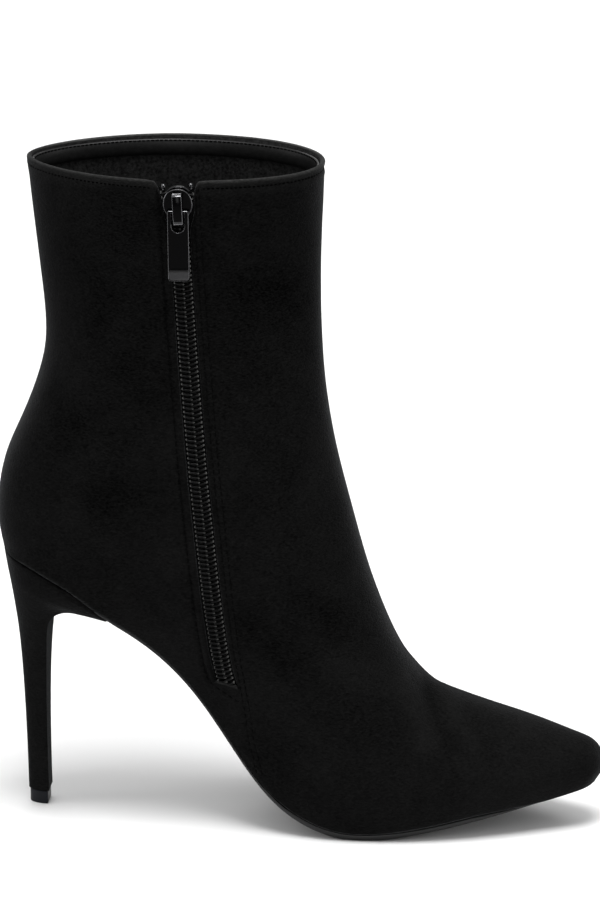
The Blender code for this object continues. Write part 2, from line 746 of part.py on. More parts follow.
def make_slider(collection, helpers, material, root, zip_line):
    """The slider: two plates round the coils, the post that joins them, and the bridge over the pull."""
    place = zip_line.matrix(HINGE_DEPTH, 0)
    top_plate = slab_mesh("zip_slider", SLIDER_OUTLINE, *SLIDER_TOP_PLATE)
    slider = add_object("zip_slider", top_plate, collection, material, root)
    back_plate = slab_mesh("slider back plate", SLIDER_OUTLINE, *SLIDER_BACK_PLATE)
    post = box_mesh("slider post", *SLIDER_POST)
    low, high = (np.array(corner) for corner in SLIDER_FLANGE)
    front_flange = box_mesh("slider flange front", low, high)
    back_flange = box_mesh("slider flange back", (-high[0], *low[1:]), (-low[0], *high[1:]))
    bridge = strap_mesh("slider bridge", BRIDGE_OUTSIDE + BRIDGE_INSIDE, BRIDGE_HALF_WIDTH)
    join_meshes(slider, [back_plate, post, front_flange, back_flange, bridge], helpers)
    for obj in [slider] + [modifier.object for modifier in slider.modifiers]:
        obj.parent = root
        obj.matrix_local = place
    return slider


def make_pull(collection, helpers, material, root, zip_line):
    """The pull tab, with its origin on the hinge: a plate with a hole for the bridge and a bent lip."""
    half = PULL_WIDTH / 2
    thick = PULL_THICKNESS / 2
    bend = PULL_LIP - PULL_LENGTH
    profile = (
        (PULL_TOP, -thick),
        (PULL_TOP, thick),
        (bend, thick),
        (-PULL_LENGTH, PULL_KICK + thick),
        (-PULL_LENGTH, PULL_KICK - thick),
        (bend, -thick),
    )
    pull = add_object("zip_pull", strap_mesh("zip_pull", profile, half), collection, material, root)
    hole = [(-HOLE_BAR, HOLE_HALF_WIDTH)]
    for angle in range(0, 90, HOLE_ARC_STEP):
        turn = math.radians(angle)
        foot = HOLE_END - HOLE_HALF_WIDTH * (1 - math.sin(turn))
        hole.append((-foot, HOLE_HALF_WIDTH * math.cos(turn)))
    hole.append((-HOLE_END, HOLE_HALF_WIDTH / 12))
    through = 2 * PULL_THICKNESS
    cutter = make_cutter("pull hole", slab_mesh("pull hole", hole, -through, through), helpers)
    boolean(pull, cutter, "DIFFERENCE")
    for obj in (pull, cutter):
        obj.parent = root
        obj.matrix_local = zip_line.matrix(HINGE_DEPTH, HINGE_HEIGHT)
    bevel = pull.modifiers.new("soft edges", "BEVEL")
    bevel.width = PULL_EDGE * MM
    bevel.segments = 1
    return pull


def make_boot():
    clear_scene()
    parts = new_collection("heeled ankle boot")
    helpers = new_collection("cutters")
    root = bpy.data.objects.new("boot", None)
    parts.objects.link(root)

    suede = new_material("black suede", (0.012, 0.012, 0.012), 0.95)
    rubber = new_material("black sole rubber", (0.015, 0.015, 0.016), 0.5)
    tip_plastic = new_material("black top piece", (0.01, 0.011, 0.013), 0.35)
    sock = new_material("black sock lining", (0.02, 0.02, 0.02), 0.8)
    tape = new_material("black zip tape", (0.015, 0.015, 0.015), 0.9)
    nylon = new_material("black nylon coil", (0.02, 0.02, 0.02), 0.4)
    metal = new_material("black lacquered metal", (0.02, 0.02, 0.02), 0.3, 0.6)

    zip_line = ZipLine(outer_grid(FINE_ROWS, FINE_COLUMNS))
    upper = add_object("upper", upper_mesh(), parts, suede, root)
    wall = upper.modifiers.new("wall", "SOLIDIFY")
    wall.thickness = WALL * MM
    wall.offset = -1
    wall.use_even_offset = True
    slit = make_cutter("zip slit", slot_mesh(zip_line), helpers)
    slit.parent = root
    boolean(upper, slit, "DIFFERENCE")

    add_object("outsole", outsole_mesh(), parts, rubber, root)
    add_object("insole", insole_mesh(), parts, sock, root)
    add_object("heel", heel_mesh(), parts, suede, root)
    add_object("top_piece", top_piece_mesh(), parts, tip_plastic, root)

    end = zip_line.length[-1]
    for name, sign in (("front", 1), ("back", -1)):
        depths = zip_depths(TAPE_BEGIN, end + TAPE_TAIL)
        mesh = zip_strip(f"zip_tape_{name}", zip_line, depths, tape_outline(sign, end))
        add_object(f"zip_tape_{name}", mesh, parts, tape, root)
        depths = zip_depths(HINGE_DEPTH - COIL_REACH, end - COIL_END_GAP)
        mesh = zip_strip(f"zip_coil_{name}", zip_line, depths, coil_outline(sign))
        add_object(f"zip_coil_{name}", mesh, parts, nylon, root)
        mesh = zip_strip(f"zip_stop_{name}", zip_line, STOP_DEPTHS, stop_outline(sign))
        add_object(f"zip_stop_{name}", mesh, parts, metal, root)
    make_slider(parts, helpers, metal, root, zip_line)
    make_pull(parts, helpers, metal, root, zip_line)

    bpy.context.view_layer.update()
    graph = bpy.context.evaluated_depsgraph_get()
    corners = []
    for obj in parts.objects:
        if obj.type == "MESH":
            shape = obj.evaluated_get(graph)
            corners += [obj.matrix_world @ Vector(corner) for corner in shape.bound_box]
    corners = np.array(corners)
    middle = (corners.min(axis=0) + corners.max(axis=0)) / 2
    root.location = (-middle[0], -middle[1], -corners[:, 2].min())


make_boot()
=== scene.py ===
# %% [markdown]
# # A heeled ankle boot in black suede
# The solids of the boot come as a fixed frame: one body for the boot and one for the tab that pulls its zip.
# This lesson dresses them. Each step says what a piece is on the real boot, how it could be made, and why it
# is made the way it is here.

# %% Load the frame
import math

import bmesh
import bpy
import numpy as np
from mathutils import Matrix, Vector, noise
from mathutils.bvhtree import BVHTree


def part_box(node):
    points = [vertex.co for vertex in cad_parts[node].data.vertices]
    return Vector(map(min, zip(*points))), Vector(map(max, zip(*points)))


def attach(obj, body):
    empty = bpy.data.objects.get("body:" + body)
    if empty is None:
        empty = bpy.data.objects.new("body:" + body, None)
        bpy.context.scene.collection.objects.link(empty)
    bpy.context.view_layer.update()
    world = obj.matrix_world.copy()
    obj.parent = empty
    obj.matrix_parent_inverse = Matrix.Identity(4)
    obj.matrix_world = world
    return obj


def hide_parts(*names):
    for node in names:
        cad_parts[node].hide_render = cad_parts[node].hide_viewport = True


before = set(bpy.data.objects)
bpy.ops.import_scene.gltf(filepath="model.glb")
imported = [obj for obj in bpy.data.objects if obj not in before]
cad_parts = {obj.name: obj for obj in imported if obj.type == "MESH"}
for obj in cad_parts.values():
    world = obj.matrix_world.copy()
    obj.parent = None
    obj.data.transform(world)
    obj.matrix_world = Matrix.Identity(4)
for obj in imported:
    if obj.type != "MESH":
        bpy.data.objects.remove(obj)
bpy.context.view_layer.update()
MM = 0.001
scene = bpy.context.scene
print("solids:", ", ".join(sorted(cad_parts)))

# %% [markdown]
# ## The camera
# A product picture is taken from far away with a long lens, so that the shaft and the heel stay parallel. The
# camera stands 2.8 m off, a little towards the toe and 18 degrees up. It could be placed by eye, but angle,
# distance and lens worked out from the outline keep every piece where the picture has it.

# %% Camera
PHOTO_AZIMUTH = math.radians(5.8)
PHOTO_ELEVATION = math.radians(18.2)
PHOTO_DISTANCE = 2.8
PHOTO_LENS = 203.2
SENSOR_HEIGHT = 24.0
AIM = Vector((-0.0009, -0.0015, 0.125))
AIM_LIFT = 0.01485

away = Vector((
    math.sin(PHOTO_AZIMUTH) * math.cos(PHOTO_ELEVATION),
    -math.cos(PHOTO_AZIMUTH) * math.cos(PHOTO_ELEVATION),
    math.sin(PHOTO_ELEVATION),
))
turn_to_boot = away.to_track_quat("Z", "Y")
camera = bpy.data.objects.new("camera", bpy.data.cameras.new("camera"))
camera.data.lens = PHOTO_LENS
camera.data.sensor_fit = "VERTICAL"
camera.data.sensor_height = SENSOR_HEIGHT
camera.location = AIM + turn_to_boot @ Vector((0, AIM_LIFT, PHOTO_DISTANCE))
camera.rotation_euler = turn_to_boot.to_euler()
scene.collection.objects.link(camera)
scene.camera = camera
print("camera at", [round(v, 3) for v in camera.location])

# %% [markdown]
# ## The studio
# Black suede shows its shape only by the light that grazes it, so the boot stands in a bright tent: a white
# floor that fills the picture, a sky that is dim at the floor and bright overhead, and soft boxes all round.
# The boxes are brighter than the floor, so that the lacquered zip mirrors them at its bends while its flat
# faces stay dark. The plain Standard view keeps the floor white.

# %% Floor, sky and soft boxes
FLOOR_SIZE = 14.0
FLOOR_DROP = 0.00005
# Brightness of the tent at the floor and overhead
SKY_LOW, SKY_HIGH = 0.14, 0.74
# Soft boxes: place and aim in metres, width and height in metres, power in watts
SOFT_BOXES = {
    "top box": ((0.1, -0.25, 1.7), (0, 0, 0.1), (0.85, 0.6), 26),
    "back box": ((-0.5, 1.5, 1.2), (0, 0, 0.15), (1.6, 0.8), 11),
    "front box": ((-0.07, -3.0, 0.72), (0, 0, 0.2), (0.5, 0.5), 8),
    "left strip": ((-2.2, -0.5, 0.7), (0, 0, 0.15), (0.5, 1.2), 6),
    "right strip": ((2.2, -0.4, 0.7), (0, 0, 0.15), (0.5, 1.2), 6),
}


def add_node(tree, kind, inputs=None, **settings):
    """A new node of a tree, with its inputs set to values or linked to other nodes' outputs."""
    made = tree.nodes.new(kind)
    for name, value in settings.items():
        setattr(made, name, value)
    for name, value in (inputs or {}).items():
        if isinstance(value, bpy.types.NodeSocket):
            tree.links.new(value, made.inputs[name])
        else:
            made.inputs[name].default_value = value
    return made


def shader_node(material, kind, inputs=None, **settings):
    return add_node(material.node_tree, "ShaderNode" + kind, inputs, **settings)


def new_material(name, **inputs):
    """A material with a Principled shader, whose inputs are named with _ for a space."""
    material = bpy.data.materials.new(name)
    material.use_nodes = True
    shader = material.node_tree.nodes["Principled BSDF"]
    for label, value in inputs.items():
        shader.inputs[label.replace("_", " ")].default_value = value
    return material, shader


def painted(material, name, output="Fac"):
    """An attribute of the mesh, by which a material changes from place to place."""
    return shader_node(material, "Attribute", attribute_name=name).outputs[output]


def calculated(material, operation, *values, **settings):
    """The result of a Math node for numbers or other nodes' outputs."""
    inputs = dict(enumerate(values))
    return shader_node(material, "Math", inputs, operation=operation, **settings).outputs[0]


def colour_between(material, factor, dark, light, ends=(0.0, 1.0)):
    """A colour that runs from dark to light while a factor runs between two ends."""
    ramp = shader_node(material, "ValToRGB", {"Fac": factor})
    for stop, colour, end in zip(ramp.color_ramp.elements, (dark, light), ends):
        stop.color = colour
        stop.position = end
    return ramp.outputs["Color"]


def link_surface(material, shader, colour, strength=None, distance=None, height=None):
    """Gives a shader its colour and, where there is a height, a bump."""
    material.node_tree.links.new(colour, shader.inputs["Base Color"])
    if height is not None:
        bump = shader_node(material, "Bump", {"Strength": strength, "Distance": distance, "Height": height})
        material.node_tree.links.new(bump.outputs["Normal"], shader.inputs["Normal"])


floor_paper, _ = new_material("white floor", Base_Color=(0.9, 0.9, 0.9, 1), Roughness=0.9)
bpy.ops.mesh.primitive_plane_add(size=FLOOR_SIZE, location=(0, 0, -FLOOR_DROP))
floor = bpy.context.object
floor.name = "floor"
floor.data.materials.append(floor_paper)

world = bpy.data.worlds.new("white tent")
world.use_nodes = True
sky = world.node_tree
sky.nodes["Background"].inputs["Color"].default_value = (1, 1, 1, 1)
direction = add_node(sky, "ShaderNodeTexCoord").outputs["Generated"]
upward = add_node(sky, "ShaderNodeSeparateXYZ", {0: direction}).outputs["Z"]
brightness = add_node(sky, "ShaderNodeMapRange", {"Value": upward, "To Min": SKY_LOW, "To Max": SKY_HIGH})
sky.links.new(brightness.outputs[0], sky.nodes["Background"].inputs["Strength"])
scene.world = world
for name, (place, aim, size, power) in SOFT_BOXES.items():
    lamp = bpy.data.lights.new(name, "AREA")
    lamp.shape = "RECTANGLE"
    lamp.size, lamp.size_y = size
    lamp.energy = power
    box = bpy.data.objects.new(name, lamp)
    box.location = place
    box.rotation_euler = (Vector(place) - Vector(aim)).to_track_quat("Z", "Y").to_euler()
    scene.collection.objects.link(box)
scene.view_settings.view_transform = "Standard"
print("soft boxes:", len(SOFT_BOXES))

# %% [markdown]
# ## The last
# A boot is drawn over a last, so its shape is a row of sections: the back or the feather edge, the ridge, the
# widths of the two sides, and how round the section is. The solids were made through the same sections. Here
# they are read far more finely, so that creases and turned edges have something to bend. Sizes are in percent
# of the boot's length, heel height and ball width.

# %% Sections of the last
LENGTH = 225.0
HEEL_HEIGHT = 100.0
BALL_WIDTH = 74.0
WALL = 1.8
GAP = 0.3
COLUMNS = (
    "back_x", "back_z", "front_x", "front_z", "lean", "seat_in", "seat_out",
    "side_in", "side_out", "peak", "low", "top", "bow", "cut",
)
SECTIONS = {
    "collar": (5.4, 251, 53.7, 251, 0, 0, 0, 43, 43, 0.5, 1.74, 2.1, 0, 1),
    "shaft": (6.8, 222, 53.63, 245.5, 0, 0, 0, 42.2, 42.2, 0.5, 1.85, 2.05, 0, 1),
    "narrow of the shaft": (8.2, 191, 53.54, 239, 0, 0, 0, 41.2, 41.2, 0.5, 1.96, 2, 0, 1),
    "ankle": (7.5, 172, 53.49, 234.5, 0, 0, 0, 40.6, 40.6, 0.5, 2.04, 2, 0, 1),
    "above the counter": (4.6, 153.5, 53.43, 229.5, -0.3, 0, 0, 40.5, 40.5, 0.49, 2.1, 2, 0, 1),
    "counter": (1.8, 138.5, 53.39, 224.5, -0.6, 0, 0, 40.8, 40.8, 0.48, 2.14, 2, 0, 1),
    "back of the heel": (0.4, 125, 53.35, 219, -1, 0, 0, 41, 41, 0.47, 2.22, 2, 0, 1),
    "heel": (0.05, 112, 53.31, 212.5, -1.5, 0, 0, 41.1, 41.1, 0.46, 2.25, 2, 0, 1),
    "rear of the seat": (0.9, 99.8, 53.3, 205, -2, 0, 0, 41.1, 41.1, 0.45, 2.25, 2, 0, 1),
    "seat round": (2.6, 100, 53.32, 197, -2.5, 16, 16, 40.9, 41.1, 0.44, 2.2, 2, 0, 1),
    "seat": (5.8, 98.6, 53.45, 187, -3, 26.5, 26.5, 40.8, 41.1, 0.43, 2.12, 2, 0, 1),
    "middle of the seat": (11.6, 92.8, 53.81, 173.5, -3.5, 33.2, 33.2, 40.5, 41.1, 0.42, 2, 2, 0, 0.9),
    "breast": (19.1, 82.6, 54.71, 157, -4, 32.4, 33.1, 39.9, 41.1, 0.4, 1.85, 2, 0, 0.7),
    "shank": (26.7, 70.2, 56.21, 139.5, -4, 28.4, 31.8, 39.2, 41.2, 0.38, 1.7, 2, 0, 0.5),
    "waist": (34, 53.4, 58.25, 121, -4, 27.7, 33.1, 38.9, 41.9, 0.35, 1.6, 2, 0, 0.35),
    "instep": (40.7, 32.4, 60.58, 102, -4, 31.1, 37.2, 40, 43.9, 0.31, 1.55, 2, 0, 0.2),
    "behind the ball": (47.6, 13.7, 63.24, 83.5, -3.5, 37.8, 43.9, 43.2, 48, 0.27, 1.5, 1.98, 0, 0.1),
    "ball": (56, 3.9, 66.62, 66, -3, 42.6, 50, 46.2, 52, 0.24, 1.5, 1.95, 0, 0),
    "front of the ball": (64.9, 3.1, 72.03, 52.5, -2.5, 42.6, 50.7, 45.4, 51.9, 0.23, 1.5, 1.9, 0, 0),
    "vamp": (73.3, 5.9, 80.14, 44.9, -2, 38.2, 45.3, 40.6, 46.8, 0.24, 1.5, 1.88, 0.2, 0),
    "toe box": (81.3, 9.4, 86.2, 41, -1.5, 30.5, 35.8, 32.8, 37.6, 0.26, 1.55, 1.85, 0.4, 0),
    "toe": (88.2, 12.8, 90.9, 37.6, -1, 21.6, 25, 24, 27, 0.3, 1.65, 1.85, 0.8, 0),
    "nose": (93.7, 15.3, 94.8, 34.4, -0.5, 13.8, 15.3, 16.2, 17.6, 0.36, 1.8, 1.9, 1.1, 0),
    "tip round": (97, 16.9, 97.6, 31.8, 0, 7.8, 8.4, 10.2, 10.8, 0.42, 1.95, 2, 1.4, 0),
    "tip": (98.4, 17.6, 99, 29.4, 0, 0, 0, 0, 0, 0.45, 2, 2, 1.6, 0),
}
REAR = list(SECTIONS).index("rear of the seat")
TIP = len(SECTIONS) - 1
UNIT_OF = {"x": LENGTH / 100, "y": BALL_WIDTH / 100, "z": HEEL_HEIGHT / 100}
UNIT_OF_COLUMN = dict.fromkeys(COLUMNS, 1.0)
UNIT_OF_COLUMN.update(dict.fromkeys(("back_x", "front_x", "bow"), UNIT_OF["x"]))
UNIT_OF_COLUMN.update(dict.fromkeys(("back_z", "front_z"), UNIT_OF["z"]))
UNIT_OF_COLUMN.update(dict.fromkeys(("lean", "seat_in", "seat_out", "side_in", "side_out"), UNIT_OF["y"]))


def spline(knots, values, at):
    """The natural cubic spline through values at the knots, read at many places."""
    knots, values, at = (np.asarray(part, float) for part in (knots, values, at))
    last = len(knots) - 1
    step = np.diff(knots)
    system = np.eye(last + 1)
    target = np.zeros_like(values)
    for i in range(1, last):
        system[i, i - 1 : i + 2] = step[i - 1], 2 * (step[i - 1] + step[i]), step[i]
        rise_after = (values[i + 1] - values[i]) / step[i]
        rise_before = (values[i] - values[i - 1]) / step[i - 1]
        target[i] = 6 * (rise_after - rise_before)
    bend = np.linalg.solve(system, target)
    i = np.clip(np.searchsorted(knots, at, side="right") - 1, 0, last - 1)
    shape = (-1,) + (1,) * (values.ndim - 1)
    width = step[i].reshape(shape)
    near = (knots[i + 1] - at).reshape(shape) / width
    far = 1 - near
    curve = ((near**3 - near) * bend[i] + (far**3 - far) * bend[i + 1]) * width**2 / 6
    return near * values[i] + far * values[i + 1] + curve


def ease(values, begin, end):
    """0 before a begin, 1 after an end, and a soft step between."""
    part = np.clip((values - begin) / (end - begin), 0, 1)
    return part**2 * (3 - 2 * part)


def sections_at(places):
    """Every column of the sections, in millimetres, at places counted in rows of the table."""
    rows = np.arange(TIP + 1)
    found = {}
    for i, name in enumerate(COLUMNS):
        column = np.array([row[i] for row in SECTIONS.values()], float) * UNIT_OF_COLUMN[name]
        if name in ("back_x", "back_z"):
            upper = spline(rows[: REAR + 1], column[: REAR + 1], np.minimum(places, REAR))
            lower = spline(rows[REAR:], column[REAR:], np.maximum(places, REAR))
            found[name] = np.where(places <= REAR, upper, lower)
        elif name in ("seat_in", "seat_out"):
            lower = spline(rows[REAR:], column[REAR:], np.maximum(places, REAR))
            found[name] = np.where(places <= REAR, 0, lower)
        else:
            found[name] = spline(rows, column, places)
    return found


print("sections:", len(SECTIONS))

# %% [markdown]
# ## Reading the last
# A section is half a superellipse on each side, cut off flat at the feather edge. Working it out for every
# point of the suede would be slow, so it is done once on a fine grid. The later steps then ask the grid for a
# point by its place along the boot and its share of the way from the sole to the ridge.

# %% A fine grid over each side of the last
FINE_ROWS = 40
FINE_STEPS = 240
ARC = 60
PLACES = np.linspace(0, TIP, TIP * FINE_ROWS + 1)
ROWS = sections_at(PLACES)


def side_of_last(side):
    """(points, rises, shares) of the sections on one side, from the feather edge or the back to the ridge."""
    row = {name: column[:, None] for name, column in ROWS.items()}
    seat, wide = (row["seat_in"], row["side_in"]) if side < 0 else (row["seat_out"], row["side_out"])
    low, top, peak = 2 / row["low"], 2 / row["top"], row["peak"]
    cut_share = np.clip(seat / np.maximum(wide, 1e-6), 0, 0.999)
    start = np.clip(row["cut"], 0, 1) * np.arcsin(cut_share ** (1 / low))
    turn = start + (math.pi / 2 - start) * np.linspace(0, 1, ARC)
    below = peak * (1 - (np.cos(turn) / np.cos(start)) ** low)
    begun = np.sin(start) ** low
    widen = (np.sin(turn) ** low - begun) / (1 - begun)
    back = np.linspace(0, math.pi / 2, ARC)[1:]
    above = peak + (1 - peak) * np.sin(back) ** top
    rise = np.concatenate([below, above], axis=1)
    half = np.concatenate([seat + (wide - seat) * widen, wide * np.cos(back) ** top], axis=1)
    along_x, along_z = row["front_x"] - row["back_x"], row["front_z"] - row["back_z"]
    length = np.hypot(along_x, along_z)
    bulge = row["bow"] * 4 * rise * (1 - rise)
    points = np.stack([
        row["back_x"] + along_x * rise + along_z / length * bulge,
        side * half + row["lean"] * rise**2,
        row["back_z"] + along_z * rise - along_x / length * bulge,
    ], axis=2)
    steps = np.linalg.norm(np.diff(points, axis=1), axis=2)
    shares = np.concatenate([np.zeros((len(PLACES), 1)), np.cumsum(steps, axis=1)], axis=1)
    return points, rise, shares / shares[:, -1:]


LAST, RISE, NORMAL = {}, {}, {}
even = np.linspace(0, 1, FINE_STEPS + 1)
for side in (-1, 1):
    points, rise, shares = side_of_last(side)
    LAST[side] = np.array([
        np.column_stack([np.interp(even, share, row[:, i]) for i in range(3)])
        for row, share in zip(points, shares)
    ])
    RISE[side] = np.array([np.interp(even, share, row) for row, share in zip(rise, shares)])
    out = side * np.cross(np.gradient(LAST[side], axis=1), np.gradient(LAST[side], axis=0))
    NORMAL[side] = out / np.maximum(np.linalg.norm(out, axis=2, keepdims=True), 1e-9)


def read_grid(grid, place, share):
    """Values of a fine grid at places and shares, between its four nearest points."""
    place, share = np.broadcast_arrays(np.asarray(place, float), np.asarray(share, float))
    row = np.clip(place, 0, TIP) * FINE_ROWS
    step = np.clip(share, 0, 1) * FINE_STEPS
    i = np.minimum(row.astype(int), TIP * FINE_ROWS - 1)
    j = np.minimum(step.astype(int), FINE_STEPS - 1)
    f, g = (row - i)[..., None], (step - j)[..., None]
    near = grid[i, j] * (1 - g) + grid[i, j + 1] * g
    far = grid[i + 1, j] * (1 - g) + grid[i + 1, j + 1] * g
    return near * (1 - f) + far * f


def on_last(side, place, share, height=0.0):
    """Points on the outside of the upper, or at a height over it."""
    point = read_grid(LAST[side], place, share)
    if np.any(height):
        out = read_grid(NORMAL[side], place, share)
        out = out / np.linalg.norm(out, axis=-1, keepdims=True)
        point = point + out * np.asarray(height)[..., None]
    return point


top_low, top_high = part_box("top_piece")
HEEL_END_BACK, HEEL_END_FRONT = 4.58, 8.20
tip_middle = (HEEL_END_BACK + HEEL_END_FRONT) / 2 * UNIT_OF["x"] * MM
ROOT = np.array([(top_low[0] + top_high[0]) / 2 - tip_middle, (top_low[1] + top_high[1]) / 2, 0.0])
print("shoe's own zero in the frame:", ROOT.round(5))

# %% [markdown]
# ## The sole line
# Sole, sock and heel all follow the feather edge, where the upper turns under the last. The edge is laid out
# flat here: a distance along the bottom, half widths to both sides, and a height at right angles to it.

# %% Feather edge along the bottom
class SoleLine:
    """The bottom of the last: distance along it, and half widths to each side."""

    def __init__(self):
        first = REAR * FINE_ROWS
        self.middle = np.column_stack([ROWS["back_x"], ROWS["back_z"]])[first:]
        step = np.linalg.norm(np.diff(self.middle, axis=0), axis=1)
        self.along = np.concatenate([[0], np.cumsum(step)])
        self.width = {-1: ROWS["seat_in"][first:], 1: ROWS["seat_out"][first:]}

    def inset(self, side, distance):
        """(distance along, half width) of the outline moved inwards."""
        toward, spread = np.gradient(self.along), np.gradient(self.width[side])
        size = np.hypot(toward, spread)
        return self.along + distance * spread / size, self.width[side] - distance * toward / size

    def ends(self, distance):
        """Where the outline moved inwards begins and ends."""
        inside = [along[width > 0] for along, width in (self.inset(-1, distance), self.inset(1, distance))]
        return max(part.min() for part in inside), min(part.max() for part in inside)

    def half_width(self, at, side, distance):
        along, width = self.inset(side, distance)
        order = np.argsort(along)
        return np.maximum(np.interp(at, along[order], width[order]), 0)

    def at_x(self, x):
        return float(np.interp(x, self.middle[:, 0], self.along))

    def on_middle(self, at):
        at = np.clip(at, 0, self.along[-1])
        return np.stack([np.interp(at, self.along, self.middle[:, i]) for i in (0, 1)], axis=-1)

    def point(self, at, y, lift):
        """Points over the bottom, at a height at right angles to it."""
        at, y, lift = np.broadcast_arrays(np.asarray(at, float), y, lift)
        slope = self.on_middle(at + 1) - self.on_middle(at - 1)
        slope = slope / np.linalg.norm(slope, axis=-1, keepdims=True)
        x, z = np.moveaxis(self.on_middle(at), -1, 0)
        return np.stack([x - slope[..., 1] * lift, y, z + slope[..., 0] * lift], axis=-1)


sole_line = SoleLine()
print("bottom of the last in mm:", round(sole_line.along[-1], 1))

# %% [markdown]
# ## The line of the zip
# The zip runs down the inner side in a gentle curve. Coil, tapes, slider and stitches all hang on that line,
# so it is made once: a smooth curve in side view, laid on the suede by rays. A place by the zip is then a
# depth below the collar, a distance aside towards the toe, and a height off the suede.

# %% Zip line
# Middle line of the zip in side view: percent of the length, percent of the heel height
ZIP_LINE = (
    (31.4, 251), (32.35, 208.5), (33.5, 168.7), (34.6, 138),
    (35.6, 114.6), (36.6, 91), (37.9, 67), (38.9, 57),
)
ZIP_STEPS = 400
FRAME_REACH = 4.0
# How far off the suede a ray starts, and how far it looks
RAY_START, RAY_REACH = 15, 30


def quads_of(index):
    """Quads between the rows and columns of a table of point numbers."""
    return np.stack([index[:-1, :-1], index[1:, :-1], index[1:, 1:], index[:-1, 1:]], axis=-1)


class ZipLine:
    """The zip's middle line on the inner side of the upper, with its directions."""

    def __init__(self):
        skin = LAST[-1][::5, ::4]
        corners = skin.reshape(-1, 3)
        index = np.arange(len(corners)).reshape(skin.shape[:2])
        self.tree = BVHTree.FromPolygons(corners.tolist(), quads_of(index).reshape(-1, 4).tolist())
        line = np.array(ZIP_LINE) * (UNIT_OF["x"], UNIT_OF["z"])
        fine = spline(np.arange(len(line)), line, np.linspace(0, len(line) - 1, ZIP_STEPS))
        self.points = np.array([self.on_side(x, z) for x, z in fine])
        steps = np.linalg.norm(np.diff(self.points, axis=0), axis=1)
        self.depths = np.concatenate([[0], np.cumsum(steps)])
        self.length = self.depths[-1]

    def on_side(self, x, z):
        """The point of the inner side at x and z."""
        top = SECTIONS["collar"][1] * UNIT_OF["z"] - 0.5
        hit = self.tree.ray_cast(Vector((x, -2 * BALL_WIDTH, min(z, top))), Vector((0, 1, 0)))[0]
        return np.array([x, hit.y, z])

    def middle(self, depth):
        return np.array([np.interp(depth, self.depths, self.points[:, i]) for i in range(3)])

    def frame(self, depth):
        """(place, across, up, out) at a depth, carried on straight past the ends."""
        inside = min(max(depth, FRAME_REACH), self.length - FRAME_REACH)
        up = self.middle(inside - FRAME_REACH) - self.middle(inside + FRAME_REACH)
        up = up / np.linalg.norm(up)
        x, _, z = self.middle(inside)
        fore = self.on_side(x + FRAME_REACH, z) - self.on_side(x - FRAME_REACH, z)
        out = np.cross(fore, up)
        out = out / np.linalg.norm(out)
        held = min(max(depth, 0), self.length)
        return self.middle(held) + up * (held - depth), np.cross(up, out), up, out

    def point(self, depth, aside, height):
        """A point by the zip, over the suede."""
        place, across, _, out = self.frame(depth)
        base = place + across * aside
        hit = self.tree.ray_cast(Vector(base + out * RAY_START), Vector(-out), RAY_REACH)[0]
        return (base if hit is None else np.array(hit)) + out * height


zip_line = ZipLine()
print("zip length in mm:", round(zip_line.length, 1))

# %% [markdown]
# ## Helpers for meshes
# Most pieces are rows of points skinned with quads: a wall, a strip, a loft through rings. These helpers make
# them, paint values on them, and give a finished mesh its material, its body and the solid it stands for.

# %% Mesh helpers
WELD_DISTANCE = 1e-6
SLIVER = 1e-7


def turn_out(mesh, weld=False):
    """Turns all faces outwards, after welding points that meet if asked."""
    work = bmesh.new()
    work.from_mesh(mesh)
    if weld:
        bmesh.ops.remove_doubles(work, verts=work.verts, dist=WELD_DISTANCE)
        bmesh.ops.dissolve_degenerate(work, edges=work.edges, dist=SLIVER)
    bmesh.ops.recalc_face_normals(work, faces=work.faces)
    work.to_mesh(mesh)
    work.free()


def mesh_from(name, points, faces, weld=True):
    """A smooth mesh from points in the shoe's millimetres."""
    mesh = bpy.data.meshes.new(name)
    mesh.from_pydata((np.asarray(points) * MM + ROOT).tolist(), [], [tuple(face) for face in faces])
    if weld:
        turn_out(mesh, weld=True)
    mesh.shade_smooth()
    return mesh


def points_of(mesh):
    """The points of a mesh in the shoe's millimetres."""
    return (np.array([corner.co for corner in mesh.vertices]) - ROOT) / MM


def paint(mesh, name, values, domain="POINT"):
    """Writes a number for each point or face of a mesh, which a material reads back."""
    mesh.attributes.new(name, "FLOAT", domain).data.foreach_set("value", values)


def paint_vectors(mesh, name, vectors):
    mesh.attributes.new(name, "FLOAT_VECTOR", "POINT").data.foreach_set("vector", np.ravel(vectors))


def add_object(name, data):
    made = bpy.data.objects.new(name, data)
    scene.collection.objects.link(made)
    return made


def result_of(helper):
    """The mesh that a helper object has after its modifiers."""
    graph = bpy.context.evaluated_depsgraph_get()
    return bpy.data.meshes.new_from_object(helper.evaluated_get(graph))


def loft_faces(rings, points, caps=True):
    """Quads of a loft through closed rings, each with the same number of points."""
    index = np.arange(rings * points).reshape(rings, points)
    ahead = np.roll(index, -1, axis=1)
    quads = np.stack([index[:-1], ahead[:-1], ahead[1:], index[1:]], axis=-1).reshape(-1, 4)
    faces = [tuple(quad) for quad in quads]
    if caps:
        faces += [tuple(index[0]), tuple(index[-1])]
    return faces


def loft(name, rings, caps=True):
    rings = np.asarray(rings)
    return mesh_from(name, rings.reshape(-1, 3), loft_faces(*rings.shape[:2], caps))


def add_piece(name, mesh, materials, replaces=(), body="boot", sharp=None):
    """An object of the finished boot: its materials, body and the solids it stands for."""
    piece = add_object(name, mesh)
    if mesh.materials:
        mesh.materials.clear()
    for material in materials:
        mesh.materials.append(material)
    if sharp:
        mesh.set_sharp_from_angle(angle=math.radians(sharp))
    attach(piece, body)
    if replaces:
        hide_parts(*replaces)
    print(name, len(mesh.polygons), "faces")


